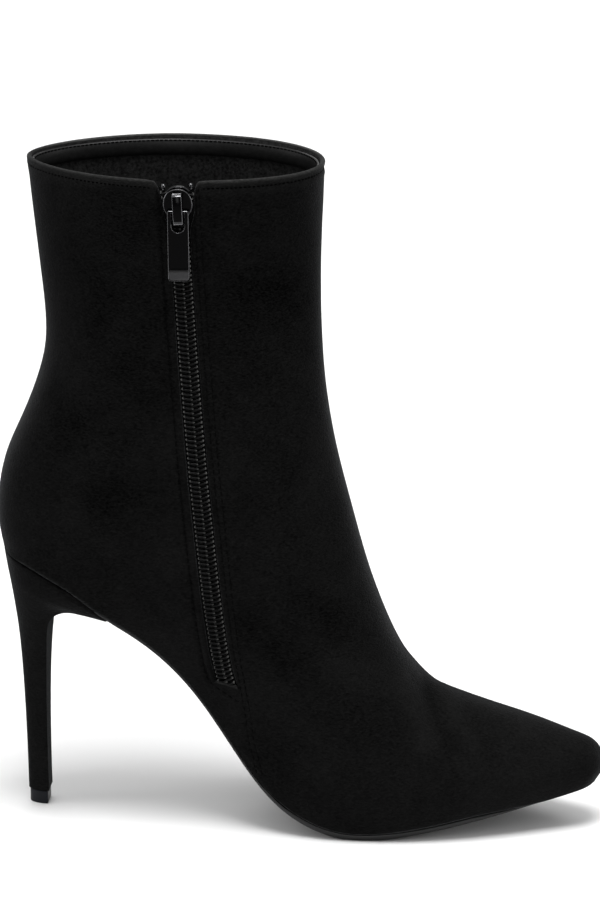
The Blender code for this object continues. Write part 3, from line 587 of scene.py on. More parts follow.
def finish_mesh(mesh, *modifiers):
    """The mesh after Bevel or other modifiers, each given as (kind, settings)."""
    helper = add_object("helper", mesh)
    for kind, settings in modifiers:
        modifier = helper.modifiers.new(kind, kind)
        for name, value in settings.items():
            setattr(modifier, name, value)
    done = result_of(helper)
    bpy.data.objects.remove(helper)
    return done


def bevel(width, segments=2, angle=40):
    """A Bevel modifier for edges sharper than an angle, with its width in millimetres."""
    return "BEVEL", {
        "width": width * MM,
        "segments": segments,
        "limit_method": "ANGLE",
        "angle_limit": math.radians(angle),
    }


print("helpers: mesh_from, loft, paint, add_piece, finish_mesh, bevel")

# %% [markdown]
# ## Suede
# Suede is the brushed flesh side of leather. Its nap is a mat of short fibres: it drinks light where you look
# straight at it, glows a little at grazing angles, and shows soft lighter and darker patches where a hand has
# stroked it. A flat black would look like plastic. Here noise at three sizes moves the colour, a fine bump
# breaks up the shading, and the shader's sheen gives the glow at the edges. One painted-on attribute adds
# painted shade in the hollows of folds and grooves and painted light on swells; another mixes in a painted
# highlight along the collar's rim.

# %% Suede material
SUEDE_DARK = (0.0004, 0.0004, 0.0004, 1)
SUEDE_LIGHT = (0.0092, 0.0092, 0.0091, 1)
SUEDE_RIM_HIGHLIGHT = (0.075, 0.075, 0.0735, 1)
# Noises over the hide: size per metre, share in the colour
STROKES = (36.0, 0.6)
NAP = (230.0, 0.24)
FLECKS = (1350.0, 1.5)
LAY_OF_THE_NAP = ((0.3, 0.6, 0.2), (0.6, 1.0, 1.35))
# Strength and depth of the bump, in millimetres
NAP_BUMP = (0.7, 0.4)
# A noise is 0.5 on average, and so is the colour between dark and light
MEAN = 0.5


def suede_material(name):
    material, shader = new_material(
        name, Roughness=0.95, Specular_IOR_Level=0.0, Sheen_Weight=0.085, Sheen_Roughness=0.36,
        Sheen_Tint=(0.95, 0.97, 1, 1),
    )
    coords = shader_node(material, "TexCoord").outputs["Object"]
    turn, stretch = LAY_OF_THE_NAP
    lay = shader_node(material, "Mapping", {"Vector": coords, "Rotation": turn, "Scale": stretch}).outputs[0]
    # Painted shading from the mesh: shade in folds, grooves and the heel's seam, light on swells, at the
    # collar and towards the toe
    level = painted(material, "painted_shading")
    for place, (scale, share) in ((coords, STROKES), (coords, NAP), (lay, FLECKS)):
        mottle = shader_node(material, "TexNoise", {
            "Vector": place, "Scale": scale, "Detail": 3.0, "Roughness": 0.6, "Distortion": 0.4,
        }).outputs["Fac"]
        centred = calculated(material, "SUBTRACT", mottle, MEAN)
        level = calculated(material, "MULTIPLY_ADD", centred, share, level)
    nap = colour_between(material, calculated(material, "ADD", level, MEAN), SUEDE_DARK, SUEDE_LIGHT)
    # Painted highlight along the collar's rim: the colour is mixed towards a light grey where the edge
    # attribute is painted
    patchy = calculated(material, "MULTIPLY", painted(material, "edge"), mottle, use_clamp=True)
    brushed = shader_node(material, "Mix", {0: patchy, 6: nap, 7: SUEDE_RIM_HIGHLIGHT}, data_type="RGBA").outputs[2]
    strength, depth = NAP_BUMP
    link_surface(material, shader, brushed, strength, depth * MM, mottle)
    return material


suede = suede_material("black suede")
print("materials:", suede.name)

# %% [markdown]
# ## Lining
# Inside, the shaft is lined with a thin brushed cloth, a little greyer and rougher than the suede. The facing
# at the collar is smoother, and so is the sock under the foot. All are only seen from above, so two noises
# are enough: one for the colour and a finer one for the bump.

# %% Lining, facing and sock materials
MOTTLE_ENDS = (0.35, 0.7)
GRAIN_SCALE = 4
CLOTH_BUMP = 0.6


def grey(level):
    return (level, level, level, 1)


def cloth_material(name, dark, light, scale, roughness, bump_depth, **inputs):
    """A dull dyed cloth: a mottled colour and a fine bump."""
    material, shader = new_material(name, Roughness=roughness, **inputs)
    coords = shader_node(material, "TexCoord").outputs["Object"]
    mottle = shader_node(material, "TexNoise", {
        "Vector": coords, "Scale": scale, "Detail": 5.0, "Roughness": 0.65,
    })
    dyed = colour_between(material, mottle.outputs["Fac"], grey(dark), grey(light), MOTTLE_ENDS)
    grain = shader_node(material, "TexNoise", {"Vector": coords, "Scale": scale * GRAIN_SCALE, "Detail": 3.0})
    link_surface(material, shader, dyed, CLOTH_BUMP, bump_depth * MM, grain.outputs["Fac"])
    return material


lining = cloth_material("brushed lining", 0.007, 0.031, 900.0, 0.9, 0.3, Specular_IOR_Level=0.0)
facing_leather = cloth_material("facing leather", 0.007, 0.013, 600.0, 0.42, 0.08, Specular_IOR_Level=0.2)
sock = cloth_material("sock lining", 0.012, 0.022, 700.0, 0.6, 0.1)
print("linings:", lining.name, facing_leather.name, sock.name)

# %% [markdown]
# ## The upper, cut and folded
# The real upper is flat suede, pulled over the last and slit for the zip. The solid has the shape, but its
# facets are too large for folds, so the skin is made again on a fine grid. Its columns bend so that two of
# them run along the edges of the slit, and near its foot its rows turn into line with the slanting end. The
# slit is then just a stretch of quads that is left out, and its edges are clean.

# %% Slit of the zip
# Half width of the slit by depth below the collar, in millimetres
SLOT_OPENING = ((-6, 11.5), (-1, 9.0), (1, 7.4), (3, 6.3), (6, 5.9), (13, 5.7), (18, 3.9))
OPENING_EASE = np.linspace(-2.0, 2.0, 9)
EDGE_FOLD = WALL / 2
SLANT = 2.1
SLIT_TAIL = 7.0
BACK_COLUMNS, SLIT_COLUMNS, FRONT_COLUMNS = 46, 8, 44
# Shares of the two columns below the slit, the least they come down to, and the places where they ease over
PLAIN_BACK, PLAIN_FRONT = 0.42, 0.50
LEAST_BACK, LEAST_FRONT = 0.05, 0.10
PLAIN_FROM, PLAIN_AT = 14.9, 19.0
EDGE_RISE, EDGE_STEP = 14, 0.5


def slit_edge(sign, depth):
    """The edge of the slit in side view, (x, z), on the back or the front side of the zip."""
    place, across, up, _ = zip_line.frame(depth)
    half = np.interp(depth + OPENING_EASE, *zip(*SLOT_OPENING)).mean() + EDGE_FOLD
    aside = np.array([-up[2], up[0]]) * -sign
    return np.array([place[0], place[2]]) + aside / np.linalg.norm(aside) * half


def edge_shares(sign):
    """Shares at which the slit's edge crosses the sections, row by row of the fine grid."""
    depths = np.arange(-EDGE_RISE, zip_line.length + SLIT_TAIL, EDGE_STEP)
    edge = np.array([slit_edge(sign, depth) for depth in depths])
    shares = np.full(len(PLACES), np.nan)
    for i in range(int(PLAIN_AT) * FINE_ROWS):
        start = np.array([ROWS["back_x"][i], ROWS["back_z"][i]])
        along = np.array([ROWS["front_x"][i], ROWS["front_z"][i]]) - start
        apart = along[0] * (edge[:, 1] - start[1]) - along[1] * (edge[:, 0] - start[0])
        crossing = np.nonzero(np.diff(np.sign(apart)))[0]
        if len(crossing):
            j = crossing[0]
            part = apart[j] / (apart[j] - apart[j + 1])
            point = edge[j] + (edge[j + 1] - edge[j]) * part
            rise = np.dot(point - start, along) / np.dot(along, along)
            shares[i] = np.interp(rise, RISE[-1][i], even)
    return shares


def settle(shares, plain, floor_share):
    """The shares carried on past the foot of the slit, and eased back to a plain column."""
    known = ~np.isnan(shares) & (PLACES <= PLAIN_FROM)
    filled = np.maximum(np.interp(PLACES, PLACES[known], shares[known]), floor_share)
    part = ease(PLACES, PLAIN_FROM, PLAIN_AT)
    return filled * (1 - part) + plain * part


back_edge = settle(edge_shares(-1), PLAIN_BACK, LEAST_BACK)
front_edge = settle(edge_shares(1), PLAIN_FRONT, LEAST_FRONT)
print("slit at the collar, share of the side:", back_edge[0].round(3), front_edge[0].round(3))

# %% [markdown]
# ## The grid of the skin
# Each point of the grid has a place and a share. The collar's row starts lower by half the wall, because the
# folded edge adds that much back. Around the foot of the slit the places are shifted, most at the slit and
# less and less away from it, until one row lies on the slanting end.

# %% Rows and columns
ROWS_PER_SECTION = 8
COLLAR_EASE = 3.0
FOOT_SPREAD = 1.6
FOOT_COLUMNS = 26
# Places among which the slanting end of the slit is looked for
TRIAL = np.linspace(12.5, 16, 700)
# How much of the spacing of the columns is even; the rest is closer beside the slit
EVEN_PART = 0.55
CLOSE_PART = 0.45
inner_columns = BACK_COLUMNS + SLIT_COLUMNS + FRONT_COLUMNS


def column_shares(back, front):
    """Shares of all columns of a side, closer together beside the slit."""
    v = np.linspace(0, 1, BACK_COLUMNS + 1)
    behind = EVEN_PART * v + CLOSE_PART * (1 - (1 - v) ** 2)
    w = np.linspace(0, 1, FRONT_COLUMNS + 1)
    ahead = EVEN_PART * w + CLOSE_PART * w**2
    between = np.linspace(0, 1, SLIT_COLUMNS + 1)[1:]
    back, front = np.asarray(back)[..., None], np.asarray(front)[..., None]
    return np.concatenate([
        back * behind, back + (front - back) * between, front + (1 - front) * ahead[1:],
    ], axis=-1)


def shares_at(places):
    """Shares of the inner side's columns, column by column, at a table of places."""
    back = np.interp(places, PLACES, back_edge)
    front = np.interp(places, PLACES, front_edge)
    shares = column_shares(back, front)
    return np.take_along_axis(shares, np.arange(inner_columns + 1)[None, :, None], axis=2)[..., 0]


def collar_place(side, shares, drop):
    """Places where columns come down to a depth below the collar."""
    level = SECTIONS["collar"][1] * UNIT_OF["z"] - drop
    places = PLACES[: 4 * FINE_ROWS]
    found = []
    for share in np.atleast_1d(shares):
        heights = read_grid(LAST[side], places, share)[:, 2]
        found.append(np.interp(-level, -heights, places))
    return np.array(found)


def lowered(places, drop_places):
    """Rows moved down at the collar, and less and less below it."""
    start = np.broadcast_to(drop_places, places.shape)
    return np.where(places < COLLAR_EASE, start + places * (COLLAR_EASE - start) / COLLAR_EASE, places)


def in_columns(places):
    """A table with the same place in every column."""
    return np.repeat(places[:, None], inner_columns + 1, axis=1)


rows = np.linspace(0, TIP, TIP * ROWS_PER_SECTION + 1)
plain_columns = column_shares(PLAIN_BACK, PLAIN_FRONT)
top_columns = column_shares(back_edge[0], front_edge[0])
outer_place = lowered(in_columns(rows), collar_place(1, plain_columns, EDGE_FOLD))
inner_place = lowered(in_columns(rows), collar_place(-1, top_columns, EDGE_FOLD))

end_back = slit_edge(-1, zip_line.length - SLANT)
end_front = slit_edge(1, zip_line.length + SLANT)
trial_points = on_last(-1, in_columns(TRIAL), shares_at(in_columns(TRIAL)))
slant = end_front - end_back
beyond = slant[0] * (trial_points[..., 2] - end_back[1]) - slant[1] * (trial_points[..., 0] - end_back[0])
slit_range = np.arange(BACK_COLUMNS, BACK_COLUMNS + SLIT_COLUMNS + 1)
end_places = np.array([np.interp(0, -beyond[:, c], TRIAL) for c in slit_range])
END_ROW = int(round(end_places.mean() * ROWS_PER_SECTION))
shift = np.zeros(inner_columns + 1)
shift[slit_range] = end_places - rows[END_ROW]
for step in range(1, FOOT_COLUMNS):
    fade = 0.5 + 0.5 * math.cos(math.pi * step / FOOT_COLUMNS)
    shift[BACK_COLUMNS - step] = shift[BACK_COLUMNS] * fade
    shift[BACK_COLUMNS + SLIT_COLUMNS + step] = shift[BACK_COLUMNS + SLIT_COLUMNS] * fade
near_foot = ease(1 - abs(rows - rows[END_ROW]) / FOOT_SPREAD, 0, 1)
inner_place = inner_place + near_foot[:, None] * shift
inner_share = shares_at(inner_place)
print("foot of the slit at row", END_ROW, "of", len(rows), "shift", shift[slit_range].round(2))

# %% [markdown]
# ## Folds, seams and a little unevenness
# Suede boots are never smooth: the vamp breaks where the foot bends, the ankle sinks, and the zip's seam
# pulls a shallow groove. A sculptor would drag these in by hand. Here each is a short line of points on the
# inner or outer side, with a width and a depth. Every point of the grid moves in or out by how near it is.

# %% Where the folds are
# Places in side view, side, half width and depth, in millimetres; a swell has a depth below zero
FOLDS = {
    "vamp break": (((158.5, 56.0), (161.5, 49.6), (164.6, 44.5), (170, 36.5)), -1, 4.0, 0.7),
    "swell behind the break": (((151, 58), (156.2, 48.6), (160.4, 37)), -1, 5.0, -0.8),
    "swell after the break": (((166, 52), (172, 43), (176, 36)), -1, 4.5, -0.4),
    "toe crease": (((176.3, 43.8), (180.5, 38.3), (184.5, 32)), -1, 3.5, 0.45),
    "swell of the toe": (((182, 44), (189, 41.5), (196, 38)), -1, 6.0, -0.45),
    "instep hollow": (((114.8, 94.6), (123.8, 86.6), (129.5, 78)), -1, 7.0, 0.7),
    "hollow by the zip": (((97.4, 84.1), (103, 76.5), (109.5, 65)), -1, 6.0, 0.6),
    "instep swell": (((128, 66), (140.5, 57.1), (150, 55)), -1, 7.0, -0.45),
    "low hollow": (((109, 25), (119, 19.5)), -1, 6.0, 0.3),
    "shaft hollow": (((90.1, 209.1), (95, 202.6), (99, 196)), -1, 8.0, 0.45),
    "front hollow": (((100.6, 211.3), (105.4, 206.8), (110, 200)), -1, 7.0, 0.4),
    "back hollow": (((54, 206), (60, 201)), -1, 8.0, 0.35),
    "ankle hollow": (((26.4, 165.1), (33.3, 159.4)), -1, 7.0, 0.5),
    "counter hollow": (((30.6, 129.7), (41.8, 128.6), (57, 133)), -1, 7.0, 0.35),
    "outer vamp break": (((159.5, 53.5), (166, 43), (174, 31)), 1, 5.2, 0.5),
    "outer swell": (((153, 56), (158, 46), (163, 36)), 1, 5.5, -0.4),
    "outer instep hollow": (((116, 93), (124, 84), (131, 74)), 1, 7.0, 0.6),
    "outer ankle hollow": (((27, 164), (36, 157), (48, 152)), 1, 8.0, 0.5),
    "outer shaft hollow": (((84, 206), (92, 198)), 1, 9.0, 0.45),
    "outer arch hollow": (((96, 70), (104, 62)), 1, 8.0, 0.4),
}
UNEVEN_SCALE = 0.035
UNEVEN_DEPTH = 0.22


def away_from(points, line):
    """Distance of each point from a line through a few points."""
    nearest = np.full(len(points), np.inf)
    for a, b in zip(line[:-1], line[1:]):
        along = b - a
        part = np.clip((points - a) @ along / (along @ along), 0, 1)
        nearest = np.minimum(nearest, np.linalg.norm(points - (a + part[:, None] * along), axis=1))
    return nearest


def on_side(x, z, side):
    """The point of either side of the upper at x and z, found on the fine grid."""
    grid = LAST[side]
    return grid.reshape(-1, 3)[np.argmin((grid[..., 0] - x) ** 2 + (grid[..., 2] - z) ** 2)]


def fold_depths(points):
    """How far each point of the skin sinks, in millimetres."""
    sunk = np.zeros(len(points))
    for line, side, width, depth in FOLDS.values():
        placed = np.array([on_side(x, z, side) for x, z in line])
        sunk += depth * np.exp(-((away_from(points, placed) / width) ** 2))
    return sunk


print("folds:", len(FOLDS))

# %% [markdown]
# ## Stitch lines
# Two rows of stitches hold the front edge of the zip and one holds the back edge. Below the zip the back row
# turns under the slanting end and joins the front rows, which run on down a seam to the sole. A row also goes
# round the collar. The lines are worked out before the skin, because the thread pulls a groove into it.

# %% Lines of the stitches
COIL_HALF = 3.2
FRONT_ROWS = (2.6, 4.6)
BACK_ROW = 3.7
COLLAR_ROW = 2.7
FIRST_STITCH = 3.6
SEAM_FOOT = ((93.8, 50.7), (94.9, 43.5), (95.7, 36.3), (97.3, 30.1), (98.6, 24.0))
BACK_TURN = ((80.0, 59.6), (83.6, 56.0), (87.8, 53.4), (91.4, 51.8))
ROW_APART = FRONT_ROWS[1] - FRONT_ROWS[0]
ROW_STEP = 2.0
ROW_POINTS = 400
# How far above the foot of the zip the front rows and the back row leave its line
FRONT_LEAVES, BACK_LEAVES = 2, 10
# How near the collar's row comes to the slit, in shares of the side
COLLAR_NEAR = 0.006


def smooth_line(points, count):
    points = np.asarray(points, float)
    return spline(np.arange(len(points)), points, np.linspace(0, len(points) - 1, count))


def zip_row(aside, begin, end):
    return [zip_line.point(depth, aside, 0.0) for depth in np.arange(begin, end, ROW_STEP)]


def side_row(line, forward=0.0):
    return [zip_line.on_side(x + forward, z) for x, z in line]


zip_end = zip_line.length
front_lines = []
for row_aside, forward in zip(FRONT_ROWS, (0.0, ROW_APART)):
    line = zip_row(COIL_HALF + row_aside, FIRST_STITCH, zip_end - FRONT_LEAVES) + side_row(SEAM_FOOT, forward)
    front_lines.append(smooth_line(line, ROW_POINTS))
back_line = zip_row(-COIL_HALF - BACK_ROW, FIRST_STITCH, zip_end - BACK_LEAVES) + side_row(BACK_TURN)
back_line = smooth_line(back_line, ROW_POINTS)


def collar_ring(depth, height, inner_from):
    """Points round the shaft at a depth below the collar, from one edge of the slit to the other."""
    ahead = np.linspace(front_edge[0] + inner_from, 1, 50)
    outer = np.linspace(1, 0, 100)[1:]
    behind = np.linspace(0, back_edge[0] - inner_from, 50)[1:]
    parts = []
    for side, shares in ((-1, ahead), (1, outer), (-1, behind)):
        parts.append(on_last(side, collar_place(side, shares, depth), shares, np.full(len(shares), height)))
    return np.concatenate(parts)


stitch_lines = {
    "zip_front_1": front_lines[0],
    "zip_front_2": front_lines[1],
    "zip_back": back_line,
    "collar": collar_ring(COLLAR_ROW, 0.0, COLLAR_NEAR),
}
print("stitch lines:", ", ".join(stitch_lines))

# %% [markdown]
# ## The skin over the last
# The grid's points are read from the last. Along the arch and at the toe the suede is drawn down over the
# edge of the sole, and the ridge behind the heel, where the sections turn into the seat, is averaged away.

# %% Points of the skin
# Along the arch the suede is drawn down over the edge of the sole: how far, and between which places
EDGE_DROP = 1.6
DROP_BEGIN, DROP_END = (27.0, 42.0), (90.0, 118.0)
# The same at the toe, where a larger share of the side is drawn down
TOE_DROP = 2.4
TOE_DROP_BEGIN = (176.0, 206.0)
TOE_SHARE = 0.6
DROP_SHARE = 0.12
# The ridge above the seat is averaged away: shares of the side, rows of the table, times
SOFT_SHARES = (0.03, 0.35, 0.5)
SOFT_SPREAD = 1.3
SOFT_PASSES = 80


def edge_drop(x):
    """How far the suede is drawn down at a place along the boot."""
    arch = EDGE_DROP * ease(x, *DROP_BEGIN) * (1 - ease(x, *DROP_END))
    return arch + TOE_DROP * ease(x, *TOE_DROP_BEGIN)


def soften(grid, share):
    """Rounds off the ridge where the back of the heel turns into the seat."""
    part = np.clip(share / SOFT_SHARES[0], 0, 1) * (1 - ease(share, *SOFT_SHARES[1:]))
    part = 0.5 * part * np.exp(-(((rows - REAR) / SOFT_SPREAD) ** 2))[:, None]
    for _ in range(SOFT_PASSES):
        between = (grid[:-2] + grid[2:]) / 2
        grid[1:-1] += (between - grid[1:-1]) * part[1:-1, :, None]
    return grid


count = len(rows)
inner_index = np.arange(count * (inner_columns + 1)).reshape(count, inner_columns + 1)
outer_index = inner_index + inner_index.size
outer_index[:, -1] = inner_index[:, -1]
outer_index[-1] = inner_index[-1]
rear_rows = REAR * ROWS_PER_SECTION + 1
outer_index[:rear_rows, 0] = inner_index[:rear_rows, 0]
outer_share = np.broadcast_to(plain_columns, outer_place.shape)
skin = np.concatenate([
    soften(on_last(-1, inner_place, inner_share), inner_share).reshape(-1, 3),
    soften(on_last(1, outer_place, outer_share), outer_share).reshape(-1, 3),
])
place_of = np.concatenate([inner_place.ravel(), outer_place.ravel()])
share_of = np.concatenate([inner_share.ravel(), outer_share.ravel()])
bottom_x = np.interp(place_of, PLACES, ROWS["back_x"])
bottom_at = np.interp(bottom_x, sole_line.middle[:, 0], sole_line.along)
below_edge = sole_line.point(bottom_at, 0.0, -1.0) - sole_line.point(bottom_at, 0.0, 0.0)
drop_share = np.interp(bottom_x, TOE_DROP_BEGIN, (DROP_SHARE, TOE_SHARE))
near_edge = np.clip(1 - share_of / drop_share, 0, 1) ** 2 * (place_of > REAR)
skin = skin + below_edge * (edge_drop(bottom_x) * near_edge)[:, None]

inner_quads = quads_of(inner_index)
kept = np.ones(inner_quads.shape[:2], bool)
kept[:END_ROW, BACK_COLUMNS : BACK_COLUMNS + SLIT_COLUMNS] = False
faces = np.concatenate([inner_quads[kept], quads_of(outer_index)[..., ::-1].reshape(-1, 4)])
used = np.unique(faces)
renumber = np.full(len(skin), -1)
renumber[used] = np.arange(len(used))
skin, place_of, faces = skin[used], place_of[used], renumber[faces]
feather = renumber[np.concatenate([inner_index[rear_rows - 1 :, 0], outer_index[rear_rows - 1 :, 0]])]
is_feather = np.zeros(len(skin), bool)
is_feather[feather[feather >= 0]] = True
print("skin:", len(skin), "points,", len(faces), "quads")

# %% [markdown]
# ## The folds and the wall
# The skin moves in at its folds and grooves and out at its swells. The wall's inside is the same grid moved
# in by the wall's thickness. Solidify could thicken the skin too, but it would leave the edges square.

# %% Folds and wall
GROOVE_WIDTH = 0.9
GROOVE_DEPTH = 0.28
SEAM_PUFF = 0.22
# From this place on the wall thins towards the tip
THIN_FROM = 22.0
TIP_WALL = 0.7
TINY = 1e-12


def unit(vectors):
    """Vectors of length 1."""
    return vectors / np.maximum(np.linalg.norm(vectors, axis=1, keepdims=True), TINY)


def vertex_normals(points, faces):
    quads = points[faces]
    normals = np.cross(quads[:, 2] - quads[:, 0], quads[:, 3] - quads[:, 1])
    total = np.zeros_like(points)
    for corner in range(4):
        np.add.at(total, faces[:, corner], normals)
    return unit(total)


normals = vertex_normals(skin, faces)
sunk = fold_depths(skin)
uneven = np.array([noise.noise(Vector(point * UNEVEN_SCALE)) for point in skin]) * UNEVEN_DEPTH
grooves = np.zeros(len(skin))
for line in stitch_lines.values():
    apart = away_from(skin, line[::4])
    grooves += GROOVE_DEPTH * np.exp(-((apart / GROOVE_WIDTH) ** 2))
    grooves -= SEAM_PUFF * np.exp(-(((apart - 2 * GROOVE_WIDTH) / GROOVE_WIDTH) ** 2))
quiet = np.where(is_feather, 0.0, 1.0)
skin = skin + normals * (uneven - sunk - grooves)[:, None] * quiet[:, None]
normals = vertex_normals(skin, faces)
wall = np.interp(place_of, (THIN_FROM, TIP), (WALL, TIP_WALL))[:, None]
inside = skin - normals * wall
print("deepest fold in mm:", sunk.max().round(2))

# %% [markdown]
# ## The turned edges
# Skin and inside meet in a half round at the collar and along the slit, which is how a turned edge looks. The
# open edges of the grid are found first: an edge whose reverse no other quad has. Then rings of points are
# laid round the half circle and joined.

# %% Turned edges
FOLD_STEPS = 8

edges = np.concatenate([faces[:, [i, (i + 1) % 4]] for i in range(4)])
forward_key = edges[:, 0] * len(skin) + edges[:, 1]
backward_key = edges[:, 1] * len(skin) + edges[:, 0]
rim = edges[~np.isin(forward_key, backward_key) & (edges[:, 0] != edges[:, 1])]
outward = np.zeros_like(skin)
along = skin[rim[:, 1]] - skin[rim[:, 0]]
for end in (0, 1):
    np.add.at(outward, rim[:, end], np.cross(along, normals[rim[:, end]]))
outward = unit(outward)
rim_points = np.unique(rim)
slot_of = np.full(len(skin), -1)
slot_of[rim_points] = np.arange(len(rim_points))
middle = (skin + inside)[rim_points] / 2
half_wall = wall[rim_points] / 2
bulge = outward[rim_points] * np.where(is_feather[rim_points], 0, 1)[:, None] * half_wall
turns = math.pi * np.arange(1, FOLD_STEPS) / FOLD_STEPS
fold = []
rings = [rim_points]
for i, turn in enumerate(turns):
    fold.append(middle + normals[rim_points] * half_wall * math.cos(turn) + bulge * math.sin(turn))
    rings.append(2 * len(skin) + i * len(rim_points) + np.arange(len(rim_points)))
rings.append(len(skin) + rim_points)
rim_faces = []
for near, far in zip(rings[:-1], rings[1:]):
    a, b = slot_of[rim[:, 0]], slot_of[rim[:, 1]]
    rim_faces.append(np.stack([near[b], near[a], far[a], far[b]], axis=-1))
all_points = np.concatenate([skin, inside] + fold)
all_faces = np.concatenate([faces] + rim_faces + [faces[:, ::-1] + len(skin)])
print("turned edges:", len(rim_points), "points round the rim")

# %% [markdown]
# ## Painted shade and light on the suede
# Two values are painted on the finished mesh. One is painted shading: painted shade in hollows and grooves,
# painted light on swells, lighter towards the toe and at the collar, darker up the shaft. The other is a
# painted highlight on the rim of the collar. On the inside the same mesh takes the lining.

# %% Upper
# Painted shading by region: how much lighter a region is painted, and where that begins and ends. The toe's
# region counts along the boot, the shaft's counts up from the floor, and the last two count up from the
# collar
TOE_PAINTED_LIGHT, TOE_REGION = 0.2, (140, 200)
SHAFT_PAINTED_SHADE, SHAFT_REGION = -0.1, (110, 190)
COLLAR_PAINTED_LIGHT, COLLAR_REGION = 0.3, (-7.0, -2.0)
COLLAR_PAINTED_HIGHLIGHT, HIGHLIGHT_REGION = 0.1, (-2.0, -0.7)
# Painted shading for each millimetre of a fold (shade in its hollow, light on its swell), of unevenness
# (light where it bulges) and of a groove (shade), with the least and the most
FOLD_PAINTED_SHADE, UNEVEN_PAINTED_LIGHT, GROOVE_PAINTED_SHADE = -0.26, 0.15, -0.5
PAINTED_SHADING_LIMITS = (-0.4, 0.3)
# Painted highlight on the rim of the collar, stronger towards the outer side: distance towards the outer
# side, strength
RIM_GLOW = ((5.0, 0.5), (22.0, 1.9))
# Only rim points whose turned edge looks up at least this much get the painted highlight
FACES_UP = 0.5

mesh = mesh_from("upper_suede", all_points, all_faces, weld=False)
side_of_face = np.zeros(len(all_faces), int)
side_of_face[len(faces) + len(rim) * FOLD_STEPS :] = 1
mesh.polygons.foreach_set("material_index", side_of_face)
x, _, z = all_points.T
from_collar = z - SECTIONS["collar"][1] * UNIT_OF["z"]
# Painted shading: lighter towards the toe and near the collar, darker up the shaft, shade in folds and
# grooves and light on swells
painted_shading = TOE_PAINTED_LIGHT * ease(x, *TOE_REGION) + SHAFT_PAINTED_SHADE * ease(z, *SHAFT_REGION)
painted_shading += COLLAR_PAINTED_LIGHT * ease(from_collar, *COLLAR_REGION)
fold_shading = FOLD_PAINTED_SHADE * sunk + UNEVEN_PAINTED_LIGHT * uneven + GROOVE_PAINTED_SHADE * np.maximum(grooves, 0)
painted_shading[: len(skin)] += np.clip(fold_shading, *PAINTED_SHADING_LIMITS)
paint(mesh, "painted_shading", painted_shading)
# Painted highlight at the collar: a thin band just below its top, and the upward-looking turned edge of its
# rim
skin_highlight = COLLAR_PAINTED_HIGHLIGHT * ease(from_collar[: len(skin)], *HIGHLIGHT_REGION)
rim_glow = np.interp(skin[rim_points][:, 1], *zip(*RIM_GLOW))
rim_highlight = np.where(outward[rim_points][:, 2] > FACES_UP, rim_glow, 0.0) * ~is_feather[rim_points]
turned_edge_highlight = [rim_highlight * math.sin(turn) for turn in turns]
paint(mesh, "edge", np.concatenate([skin_highlight, np.zeros(len(inside))] + turned_edge_highlight))
mesh.update()
add_piece("upper_suede", mesh, (suede, lining), ("upper",))
skin_tree = BVHTree.FromPolygons((skin * MM + ROOT).tolist(), faces.tolist())

# %% [markdown]
# ## The facing inside the collar
# A strip of smooth leatherette is sewn inside the collar and turned over its edge. From above it reads as a
# thin shiny line, a dark gap and a plain band that ends in a soft fold. It could be painted on the lining,
# but its edges catch the light, so it is a real strip: a closed outline swept once round the shaft.

# %% Facing
# Outline of the strip: depth below the collar, distance in from the lining, in millimetres
FACING_OUTLINE = (
    (1.9, -0.1), (1.5, 0.1), (1.4, 0.35), (1.55, 0.7), (2.0, 1.0), (2.8, 1.2), (3.8, 1.3), (5.0, 1.25),
    (6.0, 1.1), (6.9, 0.85), (7.4, 0.55), (7.4, 0.2), (6.6, -0.05), (3.0, -0.2),
)
FACING_NEAR = 0.012
facing_rings = np.stack([
    collar_ring(depth, -WALL - inward, FACING_NEAR) for depth, inward in FACING_OUTLINE
], axis=1)
add_piece("collar_facing", loft("collar_facing", facing_rings), (facing_leather,))

# %% [markdown]
# ## Outsole and sock
# The outsole is a thin sheet of black rubber with a satin edge; seen from the side it is a dark line with a
# glint. The sock is the sheet that the foot stands on. Both are plates that bend with the last, lofted from
# many narrow rings so that the bend is smooth, with their edges rounded in the outline itself.

# %% Outsole and sock
OUTSOLE_THICKNESS = 2.5
OUTSOLE_INSET = 0.6
FLAT_SPOT = 0.35
FLAT_REACH = 1.5
INSOLE_THICKNESS = 2.4
INSOLE_INSET = 3.7
HEEL_LIP = 19.7
SOLE_STEP = 1.6
SOLE_ENDS = (0.0, 0.12, 0.35, 0.7, 1.2, 1.9, 2.8, 4.0, 5.5)
SOLE_STRIPS = 12
# Edges of the plates from the top down: millimetres inwards, share of the thickness
OUTSOLE_EDGE = (
    (0.55, 1.0), (0.2, 0.95), (0.02, 0.86), (0.0, 0.74), (0.08, 0.58), (0.22, 0.4), (0.45, 0.22), (0.9, 0.08),
    (1.6, 0.0), (3.0, 0.0),
)
# The same edge under the arch, where the suede covers its upper part
ARCH_EDGE = (
    (2.3, 1.0), (2.1, 0.6), (1.9, 0.44), (0.35, 0.41), (0.05, 0.36), (0.0, 0.28), (0.1, 0.16), (0.35, 0.06),
    (0.9, 0.0), (2.5, 0.0),
)
# Thickness of the outsole along the boot: x, share of the full thickness
OUTSOLE_TAPER = ((38, 0.85), (48, 1.0), (170, 1.0), (200, 0.95), (222, 0.86))
# The least of a half width that an edge leaves
LEAST_REACH = 0.15
LIP_OVERLAP = 6.0
PLATE_SHARP = 50
SOCK_EDGE = ((1.4, 1.0), (0.7, 0.93), (0.25, 0.75), (0.05, 0.5), (0.0, 0.0))


